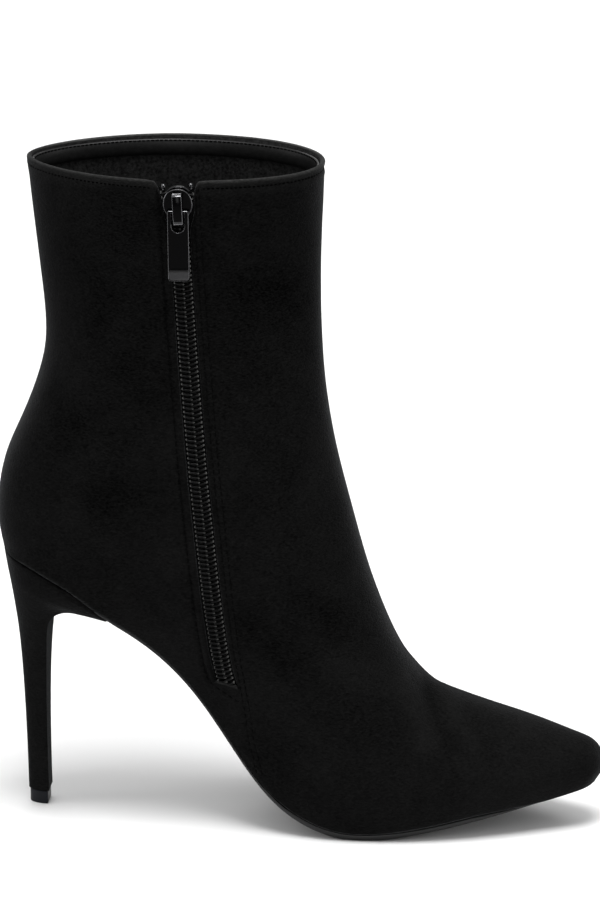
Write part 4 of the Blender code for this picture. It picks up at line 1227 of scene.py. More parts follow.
def sole_plate(begin, end, inset, low, high, edge, arch_edge, taper=((0, 1), (1, 1))):
    """Closed rings across a plate along the bottom, from one end to the other, thinner where it tapers."""
    ends = np.array(SOLE_ENDS)
    clear = ends[-1] + SOLE_STEP / 2
    between = np.arange(begin + clear, end - clear, SOLE_STEP)
    along = np.concatenate([begin + ends, between, (end - ends)[::-1]])[:, None]
    inner, outer = sole_line.half_width(along, -1, inset), sole_line.half_width(along, 1, inset)
    middle, half = (outer - inner) / 2, (outer + inner) / 2
    x = sole_line.on_middle(along)[..., 0]
    covered = np.minimum(edge_drop(x) / EDGE_DROP, 1)[..., None]
    inward, share = np.moveaxis(np.array(edge) * (1 - covered) + np.array(arch_edge) * covered, -1, 0)
    reach = np.maximum(half - inward, LEAST_REACH * half)
    across = np.linspace(-1, 1, SOLE_STRIPS + 1)[1:-1]
    top, bottom = reach[:, :1] * across, reach[:, -1:] * across[::-1]
    y = middle + np.concatenate([top, reach, bottom, -reach[:, ::-1]], axis=1)
    flat = np.ones((len(along), len(across)))
    share = np.concatenate([flat, share, 0 * flat, share[:, ::-1]], axis=1)
    thick = (high - low) * np.interp(x, *zip(*taper))
    return sole_line.point(along, y, high - thick * (1 - share))


rubber, _ = new_material(
    "sole rubber", Base_Color=(0.003, 0.003, 0.0031, 1), Roughness=0.3, Specular_IOR_Level=0.3,
)
sole_rings = sole_plate(
    sole_line.at_x(HEEL_LIP * UNIT_OF["x"]) - LIP_OVERLAP, sole_line.ends(OUTSOLE_INSET)[1], OUTSOLE_INSET,
    -GAP - OUTSOLE_THICKNESS, -GAP, OUTSOLE_EDGE, ARCH_EDGE, OUTSOLE_TAPER,
)
height = sole_rings[..., 2]
pressed = FLAT_SPOT * np.clip(1 - (height - FLAT_SPOT) / FLAT_REACH, 0, 1)
sole_rings[..., 2] = np.maximum(0, height - pressed)
sock_rings = sole_plate(
    *sole_line.ends(INSOLE_INSET), INSOLE_INSET, 0, INSOLE_THICKNESS, SOCK_EDGE, SOCK_EDGE,
)
for name, plate_rings, material, slot, node in (
    ("outsole_sheet", sole_rings, rubber, "sole_rubber", "outsole"),
    ("sock_sheet", sock_rings, sock, "sock_lining", "insole"),
):
    add_piece(name, loft(name, plate_rings), (material,), (node,), sharp=PLATE_SHARP)

# %% [markdown]
# ## Heel and top piece
# A stiletto heel is a moulded core covered in the same suede, with a round back and a flat breast. Its rings
# are those of the solid, with a smooth curve through them, which takes away the facets. A small bevel rounds
# the corners of the breast as the stretched suede does. The top piece is the hard plug that meets the floor.

# %% Heel rings
# Back and front seen from the side, half width, and share of the seat's outline, in the sections' units
HEEL_RINGS = (
    (1.25, 94.8, 16.60, 79.8, 29.8, 0.9), (1.58, 91.0, 14.40, 80.4, 27.7, 0.8),
    (1.98, 86.5, 12.20, 80.4, 25.0, 0.65), (2.38, 81.5, 10.20, 78.4, 21.7, 0.45),
    (2.78, 75.8, 8.95, 74.7, 18.1, 0.25), (3.15, 69.5, 8.45, 69.3, 14.7, 0.1),
    (3.55, 60.0, 8.20, 60.0, 11.2, 0), (3.90, 48.0, 8.05, 48.0, 9.2, 0), (4.22, 33.0, 8.02, 33.0, 7.7, 0),
    (4.45, 18.0, 8.08, 18.0, 7.0, 0), (HEEL_END_BACK, 5.3, HEEL_END_FRONT, 5.3, 6.8, 0),
)
# Height of the edge under the seat, at the back and at the lip
HEEL_EDGE = (0.8, 2.6)
# Groove of the seam under the upper: how far it goes in and down, and how much painted shade darkens it
HEEL_SEAM = 0.3
SEAM_PAINTED_SHADE = -0.6
# Towards the lip the heel is narrower, so that it goes in under the drawn-down suede: how far, and from where
LIP_TUCK = 0.8
TUCK_FROM = 0.58
# Bevels of the breast's corners and of the top piece: width, segments, angle
HEEL_BEVEL = (0.45, 3, 50)
TIP_BEVEL = (0.3, 2, 50)
TIP_SHARP = 40
HEEL_SIDE_STEPS = 24
BREAST_STEPS = 10
HEEL_FINE = 70
# Painted shading of the heel by height: lighter low down, darker under the seat
HEEL_PAINTED_SHADING = ((50.0, 0.15), (85.0, -0.05))
TOP_PIECE_HEIGHT = 5.0
TOP_PIECE_INSET = 0.5
TOP_PIECE_RINGS = 6
quarter = np.linspace(0, math.pi / 2, HEEL_SIDE_STEPS + 1)
heel_forward = 1 - np.cos(quarter)


def heel_ring(back, front, half_width, seat_shape=0.0, seat_share=0.0):
    """A closed ring with a round back and a flat breast, from the inner front corner round the back."""
    spread = seat_share * seat_shape + (1 - seat_share) * np.sin(quarter)
    side = np.column_stack([
        back[0] + (front[0] - back[0]) * heel_forward,
        half_width * spread,
        back[1] + (front[1] - back[1]) * heel_forward,
    ])
    inner = side[::-1] * (1, -1, 1)
    breast = np.linspace(side[-1], inner[0], BREAST_STEPS + 1)[1:-1]
    return np.concatenate([inner, side[1:], breast])


def heel_rings():
    """Rings from the seat down. The first three are the seam's groove and the foot of the seat's edge."""
    along = sole_line.at_x(HEEL_LIP * UNIT_OF["x"]) * heel_forward
    edge_foot = HEEL_EDGE[0] + (HEEL_EDGE[1] - HEEL_EDGE[0]) * heel_forward
    rings = []
    tuck = LIP_TUCK * ease(heel_forward, TUCK_FROM, 1.0)
    for inset, lift in ((HEEL_SEAM, 0.0), (0.0, HEEL_SEAM), (0.0, edge_foot)):
        widths = {side: sole_line.half_width(along, side, inset) - tuck for side in (-1, 1)}
        both = widths[-1] + widths[1]
        inner = sole_line.point(along, -widths[-1], -GAP - lift)
        outer = sole_line.point(along, widths[1], -GAP - lift)
        breast = np.linspace(outer[-1], inner[-1], BREAST_STEPS + 1)[1:-1]
        rings.append(np.concatenate([inner[::-1], outer[1:], breast]))
    for back_x, back_z, front_x, front_z, half_width, seat_share in HEEL_RINGS:
        back = (back_x * UNIT_OF["x"], back_z * UNIT_OF["z"])
        front = (front_x * UNIT_OF["x"], front_z * UNIT_OF["z"])
        rings.append(heel_ring(back, front, half_width * UNIT_OF["y"], both / both.max(), seat_share))
    rings = np.array(rings)
    below = rings[2:].reshape(len(rings) - 2, -1)
    fine = spline(np.arange(len(below)), below, np.linspace(0, len(below) - 1, HEEL_FINE))
    return np.concatenate([rings[:2], fine.reshape(HEEL_FINE, -1, 3)])


rings = heel_rings()
ring_points = rings.shape[1]
heel_faces = loft_faces(len(rings), ring_points, caps=False)
far = 2 * HEEL_SIDE_STEPS
heel_faces.append((0,) + tuple(range(ring_points - 1, far, -1)) + (far, far - 1, 1))
heel_faces += [(i, far - i, far - i - 1, i + 1) for i in range(1, HEEL_SIDE_STEPS - 1)]
heel_faces.append((HEEL_SIDE_STEPS - 1, HEEL_SIDE_STEPS + 1, HEEL_SIDE_STEPS))
heel_faces.append(tuple(range((len(rings) - 1) * ring_points, len(rings) * ring_points)))
heel_mesh = mesh_from("heel_cover", rings.reshape(-1, 3), heel_faces)
heel_mesh = finish_mesh(heel_mesh, bevel(*HEEL_BEVEL))
heel_points = points_of(heel_mesh)
# Painted shade along the seam's groove, and painted shading by height
from_seam = away_from(heel_points, rings[0][: 2 * HEEL_SIDE_STEPS + 1])
heel_shading = np.interp(heel_points[:, 2], *zip(*HEEL_PAINTED_SHADING))
paint(heel_mesh, "painted_shading", heel_shading + SEAM_PAINTED_SHADE * np.exp(-((from_seam / HEEL_SEAM) ** 2)))
add_piece("heel_cover", heel_mesh, (suede,), ("heel",))

hard_plastic, _ = new_material(
    "top piece plastic", Base_Color=(0.009, 0.0098, 0.0125, 1), Roughness=0.35, Specular_IOR_Level=0.1,
)
tip_back = HEEL_END_BACK * UNIT_OF["x"] + TOP_PIECE_INSET
tip_front = HEEL_END_FRONT * UNIT_OF["x"] - TOP_PIECE_INSET
tip_half = HEEL_RINGS[-1][4] * UNIT_OF["y"] - TOP_PIECE_INSET
tip_rings = [
    heel_ring((tip_back, z), (tip_front, z), tip_half)
    for z in np.linspace(0, TOP_PIECE_HEIGHT, TOP_PIECE_RINGS)
]
tip_mesh = finish_mesh(loft("heel_tip", tip_rings), bevel(*TIP_BEVEL))
add_piece("heel_tip", tip_mesh, (hard_plastic,), ("top_piece",), sharp=TIP_SHARP)

# %% [markdown]
# ## Zip tapes
# Behind the coil two woven tapes are sewn to the edges of the slit. They part round the slider's post and
# narrow towards the foot. Only a thread's width shows beside the coil, but the inside of the shaft shows them
# whole. Each is a thin lofted strip. Its weave follows an attribute that counts millimetres across and down.

# %% Tapes
TAPE_TOP, TAPE_BOTTOM = -2.1, -2.7
TAPE_HALF_WIDTH = 11.0
TAPE_TAPER = 35.0
# Inner edge of a tape by depth below the collar
TAPE_PARTING = ((0, 3.2), (6, 2.4), (9, 1.6), (13, 0.15))
TAPE_BEGIN, TAPE_TAIL = 1.0, 2.0
# How much lower a tape starts by its distance aside, where its end is folded back
TAPE_FOLD = ((3, 4.5), (8, 0.0))
TAPE_STRIPS = 8
TAPE_RINGS = 90
# Colours between the ribs and on them, strength and depth of the bump in millimetres
TAPE_GREYS = (0.002, 0.008)
TAPE_BUMP = (0.5, 0.2)
TAPE_SHARP = 40
WEAVE_PITCH = 0.7


def tape_material():
    material, shader = new_material("woven tape", Roughness=0.8, Specular_IOR_Level=0.05)
    place = painted(material, "weave", "Vector")
    ribs = shader_node(material, "TexWave", {
        "Vector": place, "Scale": 1 / WEAVE_PITCH / 2, "Distortion": 0.3,
    }, bands_direction="DIAGONAL").outputs["Fac"]
    strength, depth = TAPE_BUMP
    woven = colour_between(material, ribs, *(grey(level) for level in TAPE_GREYS))
    link_surface(material, shader, woven, strength, depth * MM, ribs)
    return material


tape_cloth = tape_material()
for name, sign in (("front", 1), ("back", -1)):
    rings, weave = [], []
    unfolded = np.linspace(TAPE_BEGIN + TAPE_FOLD[0][1], zip_end + TAPE_TAIL, TAPE_RINGS)
    for depth in np.concatenate([[TAPE_BEGIN], unfolded]):
        edge = np.interp(depth, *zip(*TAPE_PARTING))
        far_edge = np.interp(depth, (zip_end - TAPE_TAPER, zip_end), (TAPE_HALF_WIDTH, TAPE_HALF_WIDTH / 2))
        asides = np.linspace(edge, far_edge, TAPE_STRIPS + 1)
        ring = [(aside, TAPE_TOP) for aside in asides] + [(aside, TAPE_BOTTOM) for aside in asides[::-1]]
        folded = [max(depth, TAPE_BEGIN + np.interp(aside, *zip(*TAPE_FOLD))) for aside, _ in ring]
        rings.append([
            zip_line.point(low, sign * aside, height) for low, (aside, height) in zip(folded, ring)
        ])
        weave += [(aside, low, 0) for low, (aside, _) in zip(folded, ring)]
    rings = np.array(rings)
    mesh = mesh_from(f"tape_{name}", rings.reshape(-1, 3), loft_faces(*rings.shape[:2]), weld=False)
    paint_vectors(mesh, "weave", weave)
    turn_out(mesh)
    add_piece(f"tape_{name}", mesh, (tape_cloth,), (f"zip_tape_{name}",), sharp=TAPE_SHARP)

# %% [markdown]
# ## Things that repeat along a line
# Stitches and the turns of the coil are one small shape repeated hundreds of times. They could be copied by
# a loop, but a Geometry Nodes tree says it more clearly: make a curve from the line, cut it into even steps,
# put a shape on each step, and turn it to face along the line and out from the suede. The line carries the
# outward direction as an attribute.

# %% Helpers for Geometry Nodes
def new_tree(name, sizes):
    """A tree with a line coming in, named sizes, and a mesh going out."""
    tree = bpy.data.node_groups.new(name, "GeometryNodeTree")
    tree.interface.new_socket("Line", in_out="INPUT", socket_type="NodeSocketGeometry")
    for label, value in sizes.items():
        tree.interface.new_socket(label, in_out="INPUT", socket_type="NodeSocketFloat").default_value = value
    tree.interface.new_socket("Material", in_out="INPUT", socket_type="NodeSocketMaterial")
    tree.interface.new_socket("Mesh", in_out="OUTPUT", socket_type="NodeSocketGeometry")
    return tree, tree.nodes.new("NodeGroupInput").outputs


def along_line(tree, sizes, spacing, shape, scale=None):
    """Ends a tree: the shape on every step of the line, its X axis along it and its Z axis out."""
    curve = add_node(tree, "GeometryNodeMeshToCurve", {"Mesh": sizes["Line"]})
    steps = add_node(tree, "GeometryNodeResampleCurve", {
        "Curve": curve.outputs[0], "Length": spacing,
    }, mode="LENGTH")
    tangent = add_node(tree, "GeometryNodeInputTangent")
    out = add_node(tree, "GeometryNodeInputNamedAttribute", {"Name": "out"}, data_type="FLOAT_VECTOR")
    ahead = add_node(tree, "FunctionNodeAlignRotationToVector", {"Vector": tangent.outputs[0]}, axis="X")
    facing = add_node(tree, "FunctionNodeAlignRotationToVector", {
        "Rotation": ahead.outputs[0], "Vector": out.outputs["Attribute"],
    }, axis="Z", pivot_axis="X")
    copies = add_node(tree, "GeometryNodeInstanceOnPoints", {
        "Points": steps.outputs[0], "Instance": shape, "Rotation": facing.outputs[0],
    })
    if scale is not None:
        tree.links.new(scale, copies.inputs["Scale"])
    real = add_node(tree, "GeometryNodeRealizeInstances", {"Geometry": copies.outputs[0]})
    smooth = add_node(tree, "GeometryNodeSetShadeSmooth", {0: real.outputs[0]})
    coated = add_node(tree, "GeometryNodeSetMaterial", {
        "Geometry": smooth.outputs[0], "Material": sizes["Material"],
    })
    tree.links.new(coated.outputs[0], tree.nodes.new("NodeGroupOutput").inputs["Mesh"])


def grow(name, line, outs, tree, material, **sizes):
    """A mesh grown by a tree along a line of points in the shoe's millimetres, with outward directions."""
    path = bpy.data.meshes.new(name)
    path.from_pydata((line * MM + ROOT).tolist(), [(i, i + 1) for i in range(len(line) - 1)], [])
    paint_vectors(path, "out", outs)
    helper = add_object(name + "_line", path)
    modifier = helper.modifiers.new(name, "NODES")
    modifier.node_group = tree
    for item in tree.interface.items_tree:
        if item.in_out == "INPUT" and item.name in sizes:
            modifier[item.identifier] = sizes[item.name]
        elif item.in_out == "INPUT" and item.name == "Material":
            modifier[item.identifier] = material
    grown = result_of(helper)
    helper.modifiers.clear()
    bpy.data.objects.remove(helper)
    return grown


print("helpers: new_tree, along_line, grow")

# %% [markdown]
# ## The coil
# A nylon zip is a flattened spiral of thread on each tape, and the two mesh in the middle. From outside the
# strands read as a braid of small arrowheads with bright dots at the edges. A grooved strip would look wrong
# in close light, so each row is grown turn by turn, and the two rows are half a turn apart. The bright dots
# are a painted highlight: a lighter colour where the strands bend back.

# %% Coil
COIL_PITCH = 1.75
COIL_THREAD = 0.4
COIL_ROW_MIDDLE = 1.42
COIL_ROW_HALF = 1.6
COIL_LIFT = -0.95
COIL_THICK = 0.55
COIL_FROM = 3.5
COIL_END_GAP = 0.9
# The rows part above the slider: depth below the collar, middle of a row
COIL_PARTING = ((3.5, 4.4), (5.5, 4.1), (8.0, 3.1), (10.5, 1.9), (12.5, COIL_ROW_MIDDLE))
# Where a strand begins to bend back and where it is bent, as shares of a row's half width; the painted
# highlight fades in between them
BEND_SHARE = (0.84, 1.06)
# Points of a turn and of the strand round its middle
TURN_POINTS, STRAND_POINTS = 14, 5
# How much of the slit's slant the ends of the rows follow
END_SLANT = 0.6
LINE_STEP = 1.0
# The nylon's colour, and the lighter colour of the painted highlight on its bends
NYLON_BLACK = (0.0025, 0.0025, 0.0025, 1)
NYLON_PAINTED_GLINT = (0.15, 0.15, 0.145, 1)


def coil_tree(name, mirror):
    tree, sizes = new_tree(name, {
        "Pitch": COIL_PITCH * MM, "Thread": COIL_THREAD * MM, "Half Width": COIL_ROW_HALF * MM,
        "Half Height": COIL_THICK * MM,
    })
    spiral = add_node(tree, "GeometryNodeCurveSpiral", {
        "Resolution": TURN_POINTS, "Rotations": 1.0, "Start Radius": 1.0, "End Radius": 1.0,
        "Height": sizes["Pitch"], "Reverse": mirror,
    })
    flat = add_node(tree, "ShaderNodeCombineXYZ", {
        "X": sizes["Half Height"], "Y": sizes["Half Width"], "Z": 1.0,
    })
    squashed = add_node(tree, "GeometryNodeTransform", {
        "Geometry": spiral.outputs[0], "Scale": flat.outputs[0],
    })
    turned = add_node(tree, "GeometryNodeTransform", {
        "Geometry": squashed.outputs[0], "Rotation": (0, math.pi / 2, 0),
    })
    round_thread = add_node(tree, "GeometryNodeCurvePrimitiveCircle", {
        "Resolution": STRAND_POINTS, "Radius": sizes["Thread"],
    })
    strand = add_node(tree, "GeometryNodeCurveToMesh", {
        "Curve": turned.outputs[0], "Profile Curve": round_thread.outputs[0],
    })
    along_line(tree, sizes, sizes["Pitch"], strand.outputs[0])
    return tree


def paint_bend_glints(mesh, line, across, in_middle):
    """Paints a highlight where the strands of a row bend back: at its outer edge, and on one row in the
    middle too.
    """
    corners = points_of(mesh)
    nearest = np.linalg.norm(corners[:, None] - line[None], axis=2).argmin(axis=1)
    aside = ((corners - line[nearest]) * across[nearest]).sum(axis=1) / COIL_ROW_HALF
    bend_glints = ease(aside, *BEND_SHARE)
    if in_middle:
        bend_glints = np.maximum(bend_glints, ease(-aside, *BEND_SHARE))
    paint(mesh, "edge", bend_glints)


nylon, nylon_shader = new_material("black nylon", Roughness=0.3, Specular_IOR_Level=0.08)
# Painted highlight: the nylon is a lighter grey where the bends are painted
painted_glint = shader_node(nylon, "Mix", {
    0: painted(nylon, "edge"), 6: NYLON_BLACK, 7: NYLON_PAINTED_GLINT,
}, data_type="RGBA").outputs[2]
link_surface(nylon, nylon_shader, painted_glint)
for name, sign in (("front", 1), ("back", -1)):
    begin = COIL_FROM + (COIL_PITCH / 2 if sign > 0 else 0)
    depths = np.arange(begin, zip_end - COIL_END_GAP + sign * SLANT * END_SLANT, LINE_STEP)
    asides = sign * np.interp(depths, *zip(*COIL_PARTING))
    line = np.array([zip_line.point(depth, aside, COIL_LIFT) for depth, aside in zip(depths, asides)])
    outs = np.array([zip_line.frame(depth)[3] for depth in depths])
    across = sign * np.array([zip_line.frame(depth)[1] for depth in depths])
    grown = grow(f"coil_{name}", line, outs, coil_tree(f"coil row {name}", sign > 0), nylon)
    paint_bend_glints(grown, line, across, sign < 0)
    add_piece(f"coil_{name}", grown, (nylon,), (f"zip_coil_{name}",))

# %% [markdown]
# ## Stitches
# Sewing thread lies in small separate stitches, each sunk at both ends. The tree puts one long round bead for
# each stitch along the lines that the grooves were made for, laid on the finished skin.

# %% Stitch rows
STITCH_SPACING = 2.8
STITCH_LENGTH = 2.1
STITCH_WIDTH = 0.48
STITCH_HEIGHT = 0.36
# Finer stitches round the collar
FINE_SPACING = 1.65
FINE_LENGTH = 1.15
FINE_WIDTH = 0.55
# Those of the facing are longer. Depth below the collar, distance in from the lining, nearness to the slit
FACING_LENGTH = 1.5
FACING_ROW = 1.9
FACING_RAISED = 1.1
FACING_ROW_NEAR = 0.02
# How far outside the lining a second ring lies, which gives the facing's row its directions
FACING_BASE = 4
BEAD_SEGMENTS, BEAD_RINGS = 8, 5
THREAD_BLACK, ZIP_THREAD_BLACK = 0.0009, 0.0026


def stitch_tree():
    tree, sizes = new_tree("stitch row", {
        "Spacing": STITCH_SPACING * MM, "Length": STITCH_LENGTH * MM, "Width": STITCH_WIDTH * MM,
        "Height": STITCH_HEIGHT * MM,
    })
    bead = add_node(tree, "GeometryNodeMeshUVSphere", {
        "Segments": BEAD_SEGMENTS, "Rings": BEAD_RINGS, "Radius": 0.5,
    })
    size = add_node(tree, "ShaderNodeCombineXYZ", {
        "X": sizes["Length"], "Y": sizes["Width"], "Z": sizes["Height"],
    })
    along_line(tree, sizes, sizes["Spacing"], bead.outputs[0], size.outputs[0])
    return tree


def laid_on_skin(line):
    """A line brought to the finished skin, with its outward directions."""
    found = [skin_tree.find_nearest(Vector(point * MM + ROOT)) for point in line]
    points = np.array([(np.array(hit[0]) - ROOT) / MM for hit in found])
    return points, np.array([hit[1] for hit in found])


def thread_material(name, level):
    return new_material(name, Base_Color=grey(level), Roughness=0.6, Specular_IOR_Level=0.0)[0]


thread = thread_material("black thread", THREAD_BLACK)
zip_thread = thread_material("zip thread", ZIP_THREAD_BLACK)
facing_line = collar_ring(FACING_ROW, -WALL - FACING_RAISED, FACING_ROW_NEAR)
facing_out = unit(facing_line - collar_ring(FACING_ROW, -WALL + FACING_BASE, FACING_ROW_NEAR))
fine = {"Spacing": FINE_SPACING * MM, "Length": FINE_LENGTH * MM, "Width": FINE_WIDTH * MM}
sewn_rows = {}
for name, line in stitch_lines.items():
    sewn_rows[name] = (*laid_on_skin(line), *((thread, fine) if name == "collar" else (zip_thread, {})))
sewn_rows["facing"] = facing_line, facing_out, zip_thread, {**fine, "Length": FACING_LENGTH * MM}
stitches = stitch_tree()
for name, (line, outs, sewn, sizes) in sewn_rows.items():
    grown = grow(f"stitches_{name}", line, outs, stitches, sewn, **sizes)
    add_piece(f"stitches_{name}", grown, (sewn,))

# %% [markdown]
# ## Slider, bridge and stops
# The slider is a small cast shield in black lacquer, with a bridge over it that holds the pull, a plate
# behind the tapes and a post between. Cast metal has no sharp edges, and in so small a piece the light on the
# rounded edges is what the eye reads, so every part is bevelled before they are joined into one.

# %% Slider
HINGE_DEPTH = 10.8
HINGE_HEIGHT = 2.1
# Half outline of the plates: distance above the hinge, half width
SLIDER_OUTLINE = (
    (8.1, 0.0), (8.05, 1.0), (7.6, 2.5), (6.6, 3.8), (5.0, 4.8), (3.0, 5.25), (1.4, 5.25), (0.2, 4.95),
    (-0.8, 4.4), (-1.8, 3.8), (-3.6, 3.6), (-5.4, 3.55), (-5.8, 3.2), (-5.85, 0.0),
)
OUTLINE_POINTS = 37
# Rings of the plates from the back: share of the outline, height out from the suede
SHIELD_RINGS = (
    (0.96, 0.15), (1.0, 0.32), (1.0, 0.72), (0.97, 0.92), (0.92, 1.0), (0.85, 0.94), (0.78, 0.9), (0.5, 1.0),
    (0.25, 1.05),
)
BACK_PLATE_RINGS = ((0.95, -3.8), (1.0, -3.65), (1.0, -3.15), (0.95, -3.0))
SHIELD_MIDDLE = 1.2
# Two corners of the post and of the front flange: across, up and out from the hinge
SLIDER_POST = ((-1.1, 5.2, -3.4), (1.1, 7.4, 0.6))
SLIDER_FLANGE = ((3.1, -5.2, -1.6), (3.7, 1.0, 0.6))
POST_SOFT, FLANGE_SOFT = 0.3, 0.25
# Bridge, outside then inside: distance above the hinge, height out from the suede
BRIDGE = (
    (7.15, 0.6), (7.15, 1.0), (6.75, 3.5), (6.6, 3.85), (6.25, 4.1), (0.0, 4.1), (-2.2, 4.1), (-3.2, 3.92),
    (-4.1, 3.58), (-4.8, 3.05), (-5.3, 2.3), (-5.55, 1.4), (-5.6, 0.6), (-4.65, 0.6), (-4.5, 1.7),
    (-4.0, 2.5), (-3.3, 3.0), (-2.5, 3.2), (0.0, 3.2), (5.6, 3.2), (5.9, 3.0), (6.2, 1.5), (6.25, 1.1),
    (6.25, 0.6),
)
BRIDGE_HALF_WIDTH = 1.75
BRIDGE_BEVEL = (0.3, 3, 60)
SLIDER_SHARP = 38
# Rings of a stop from the top: depth below the collar, distance inwards
STOP_RINGS = ((1.1, 0.45), (1.5, 0.1), (2.2, 0.0), (2.9, 0.08), (3.6, 0.45))
STOP_ASIDE = (4.2, 5.8)
STOP_HEIGHT, STOP_HALF_THICK = -1.0, 0.85
STOP_POINTS = 12

# Colour of the bare metal, which is partly wear and partly a painted highlight
BARE_METAL_HIGHLIGHT = (0.14, 0.14, 0.145, 1)
LACQUER_BLACK = (0.0008, 0.0008, 0.0009, 1)
# Bare metal, partly wear and partly a painted highlight, by how far a face looks out from the suede: none at
# the first value of a pair, all at the second
WEAR_AND_HIGHLIGHT_OUT, WEAR_AND_HIGHLIGHT_ASIDE = (0.97, 0.85), (0.1, 0.4)
# A painted highlight by how far a face looks up, for faces that look out at least a little
HIGHLIGHT_UP, LEAST_OUT = (0.9, 0.96), 0.05


def lacquer_material():
    """Black lacquer with bare metal where the edge attribute is painted: wear on the rounded edges, and a
    painted highlight on faces that look up.
    """
    material, shader = new_material("black lacquer", Roughness=0.15, Specular_IOR_Level=0.035)
    edge = painted(material, "edge")
    material.node_tree.links.new(edge, shader.inputs["Metallic"])
    link_surface(material, shader, colour_between(material, edge, LACQUER_BLACK, BARE_METAL_HIGHLIGHT))
    return material


def ramped(values, ends):
    """0 at the first of two ends, 1 at the second, and straight between."""
    return np.clip((values - ends[0]) / (ends[1] - ends[0]), 0, 1)


def mark_wear_and_highlights(mesh):
    """Paints bare metal on a piece, partly wear and partly a painted highlight: faces that look aside, but
    not straight aside, or up.
    """
    _, _, up, out = zip_line.frame(HINGE_DEPTH)
    normals = np.array([normal.vector for normal in mesh.polygon_normals])
    facing = normals @ out
    worn_and_lit = ramped(facing, WEAR_AND_HIGHLIGHT_OUT) * ramped(facing, WEAR_AND_HIGHLIGHT_ASIDE)
    worn_and_lit = np.maximum(worn_and_lit, ramped(normals @ up, HIGHLIGHT_UP) * (facing > LEAST_OUT))
    paint(mesh, "edge", worn_and_lit, "FACE")
    return mesh


lacquer = lacquer_material()


def by_hinge(points, height=0.0):
    """Points given across, up and out from the slider's hinge, in the shoe's millimetres."""
    place, across, up, out = zip_line.frame(HINGE_DEPTH)
    return place + np.asarray(points, float) @ np.stack([across, up, out]) + out * height


def shield(name, rings):
    """A plate with the slider's outline, lofted from rings."""
    up, half = smooth_line(SLIDER_OUTLINE, OUTLINE_POINTS).T
    half = np.maximum(half, 0)
    outline = np.concatenate([np.column_stack([half, up]), np.column_stack([-half, up])[-2:0:-1]])
    middle = np.array([0, SHIELD_MIDDLE])
    shaped = []
    for share, out in rings:
        flat = middle + (outline - middle) * share
        shaped.append(by_hinge(np.column_stack([flat, np.full(len(flat), out)])))
    return loft(name, shaped)


def block(name, low, high, soft):
    """A box between two corners, with rounded edges."""
    (x0, y0, z0), (x1, y1, z1) = low, high
    rings = [by_hinge([(x0, y0, z), (x1, y0, z), (x1, y1, z), (x0, y1, z)]) for z in (z0, z1)]
    return finish_mesh(loft(name, rings), bevel(soft, 2))


def joined(meshes):
    """One closed mesh from several that overlap."""
    helpers = [add_object(mesh.name, mesh) for mesh in meshes]
    for other in helpers[1:]:
        modifier = helpers[0].modifiers.new(other.name, "BOOLEAN")
        modifier.operation = "UNION"
        modifier.solver = "EXACT"
        modifier.object = other
    done = result_of(helpers[0])
    for helper in helpers:
        bpy.data.objects.remove(helper)
    done.shade_smooth()
    return done


low, high = SLIDER_FLANGE
bridge_sides = (-BRIDGE_HALF_WIDTH, BRIDGE_HALF_WIDTH)
bridge_rings = [by_hinge([(x, up, out) for up, out in BRIDGE]) for x in bridge_sides]
slider_parts = [
    shield("slider_body", SHIELD_RINGS),
    shield("back_plate", BACK_PLATE_RINGS),
    block("post", *SLIDER_POST, POST_SOFT),
    block("front_flange", low, high, FLANGE_SOFT),
    block("back_flange", (-high[0], *low[1:]), (-low[0], *high[1:]), FLANGE_SOFT),
    finish_mesh(loft("bridge", bridge_rings), bevel(*BRIDGE_BEVEL)),
]
slider_mesh = mark_wear_and_highlights(joined(slider_parts))
add_piece("slider_body", slider_mesh, (lacquer,), ("zip_slider",), sharp=SLIDER_SHARP)
for name, sign in (("front", 1), ("back", -1)):
    turn = np.linspace(0, 2 * math.pi, STOP_POINTS + 1)[:-1]
    rings = []
    for depth, inset in STOP_RINGS:
        half = (STOP_ASIDE[1] - STOP_ASIDE[0]) / 2 - inset
        asides = sum(STOP_ASIDE) / 2 + half * np.cos(turn)
        heights = STOP_HEIGHT + (STOP_HALF_THICK - inset) * np.sin(turn)
        rings.append([zip_line.point(depth, sign * aside, height) for aside, height in zip(asides, heights)])
    stop_mesh = mark_wear_and_highlights(loft(f"stop_{name}", rings))
    add_piece(f"stop_{name}", stop_mesh, (lacquer,), (f"zip_stop_{name}",))

# %% [markdown]
# ## The pull
# The pull is a stamped plate with a hole for the bridge and a lip bent out for the finger. It turns on the
# hinge, so it rides on its own body. A flat curve with a hole, thickened and bevelled, gives the plate; cuts
# across it give the lip something to bend.

# %% Pull
PULL_WIDTH = 7.7
PULL_LENGTH = 25.7
PULL_THICKNESS = 1.2
PULL_TOP = 0.5
PULL_LIP = 4.6
PULL_KICK = 1.3
PULL_EDGE = 0.34
PULL_CORNER = 1.1
# The pull hangs nearly upright, while the zip leans
PULL_LEAN = math.radians(-2.2)
HOLE_HALF_WIDTH = 2.35
HOLE_BAR = 0.55
HOLE_END = 7.7
# Radius of the upper corners of the plate and the hole, and of the hole's foot as a share of its half width
PLATE_CORNER, HOLE_CORNER, HOLE_ROUND = 0.3, 0.2, 0.98
HOLE_STEPS = 8
# Cuts across the lip: first above the foot, last above the lip, apart
LIP_CUTS = (0.6, 1.2, 0.4)
PULL_WELD = 1e-4


def rounded_outline(corners, steps=6):
    """A closed outline from corners given as (x, y, radius), each turned by a quarter or less."""
    outline = []
    spots = [np.array(corner[:2], float) for corner in corners]
    for i, (_, _, radius) in enumerate(corners):
        before = spots[i - 1] - spots[i]
        after = spots[(i + 1) % len(spots)] - spots[i]
        before, after = before / np.linalg.norm(before), after / np.linalg.norm(after)
        for turn in np.linspace(0, math.pi / 2, steps + 1):
            outline.append(spots[i] + radius * (before * (1 - math.sin(turn)) + after * (1 - math.cos(turn))))
    return outline


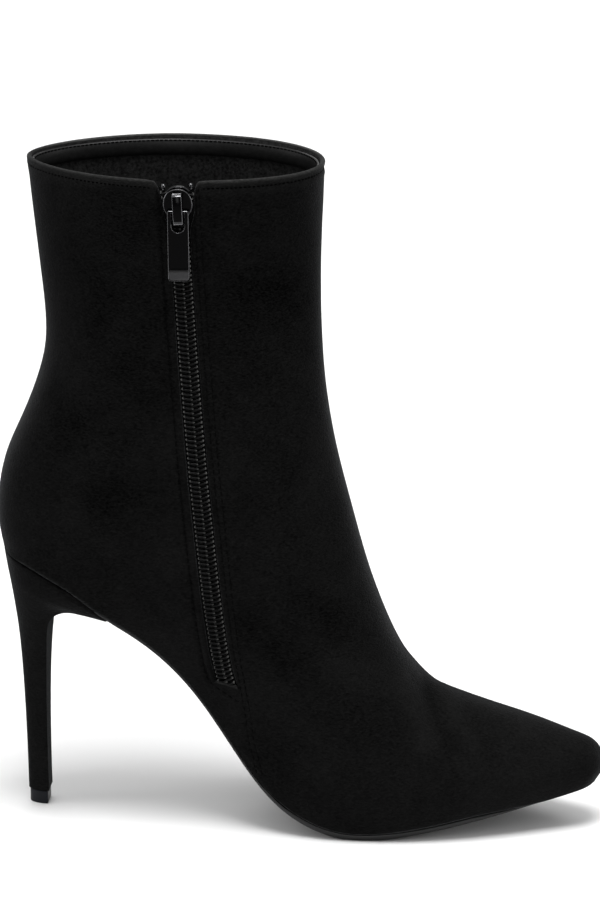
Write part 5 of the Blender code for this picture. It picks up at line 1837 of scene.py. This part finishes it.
def lip_kick(y):
    """How far the lip stands out at a place along the pull."""
    bent = np.clip((-y - (PULL_LENGTH - PULL_LIP)) / PULL_LIP, 0, 1)
    return PULL_KICK * bent * (1 - 0.5 * (1 - bent) ** 2)


half = PULL_WIDTH / 2 - PULL_EDGE
foot = -PULL_LENGTH + PULL_EDGE
hole_half = HOLE_HALF_WIDTH + PULL_EDGE
hole_top, hole_foot = -HOLE_BAR + PULL_EDGE, -HOLE_END - PULL_EDGE
top = PULL_TOP - PULL_EDGE
plate = rounded_outline([
    (half, top, PLATE_CORNER), (-half, top, PLATE_CORNER),
    (-half, foot, PULL_CORNER), (half, foot, PULL_CORNER),
])
round_foot = hole_half * HOLE_ROUND
hole = rounded_outline([
    (hole_half, hole_top, HOLE_CORNER), (-hole_half, hole_top, HOLE_CORNER),
    (-hole_half, hole_foot, round_foot), (hole_half, hole_foot, round_foot),
], HOLE_STEPS)
flat_curve = bpy.data.curves.new("pull_plate", "CURVE")
flat_curve.dimensions = "2D"
flat_curve.fill_mode = "BOTH"
flat_curve.extrude = PULL_THICKNESS / 2 - PULL_EDGE
flat_curve.bevel_depth = PULL_EDGE
flat_curve.bevel_resolution = 2
for outline in (plate, hole):
    ring = flat_curve.splines.new("POLY")
    ring.points.add(len(outline) - 1)
    for spot, (x, y) in zip(ring.points, outline):
        spot.co = (x, y, 0, 1)
    ring.use_cyclic_u = True
helper = add_object("pull_curve", flat_curve)
pull_mesh = result_of(helper)
bpy.data.objects.remove(helper)
work = bmesh.new()
work.from_mesh(pull_mesh)
bmesh.ops.remove_doubles(work, verts=work.verts, dist=PULL_WELD)
above_foot, above_lip, apart = LIP_CUTS
for y in np.arange(-PULL_LENGTH + above_foot, -PULL_LENGTH + PULL_LIP + above_lip, apart):
    everything = work.verts[:] + work.edges[:] + work.faces[:]
    bmesh.ops.bisect_plane(work, geom=everything, plane_co=(0, y, 0), plane_no=(0, 1, 0))
bmesh.ops.recalc_face_normals(work, faces=work.faces)
local = np.array([corner.co for corner in work.verts])
local[:, 2] += lip_kick(local[:, 1])
lean_cos, lean_sin = math.cos(PULL_LEAN), math.sin(PULL_LEAN)
local[:, :2] = local[:, :2] @ np.array([[lean_cos, lean_sin], [-lean_sin, lean_cos]])
for corner, spot in zip(work.verts, by_hinge(local, HINGE_HEIGHT)):
    corner.co = spot * MM + ROOT
work.to_mesh(pull_mesh)
work.free()
pull_mesh.shade_smooth()
mark_wear_and_highlights(pull_mesh)
pull_mesh = finish_mesh(pull_mesh, ("WEIGHTED_NORMAL", {"weight": 80}))
add_piece("pull_plate", pull_mesh, (lacquer,), ("zip_pull",), body="pull_tab")
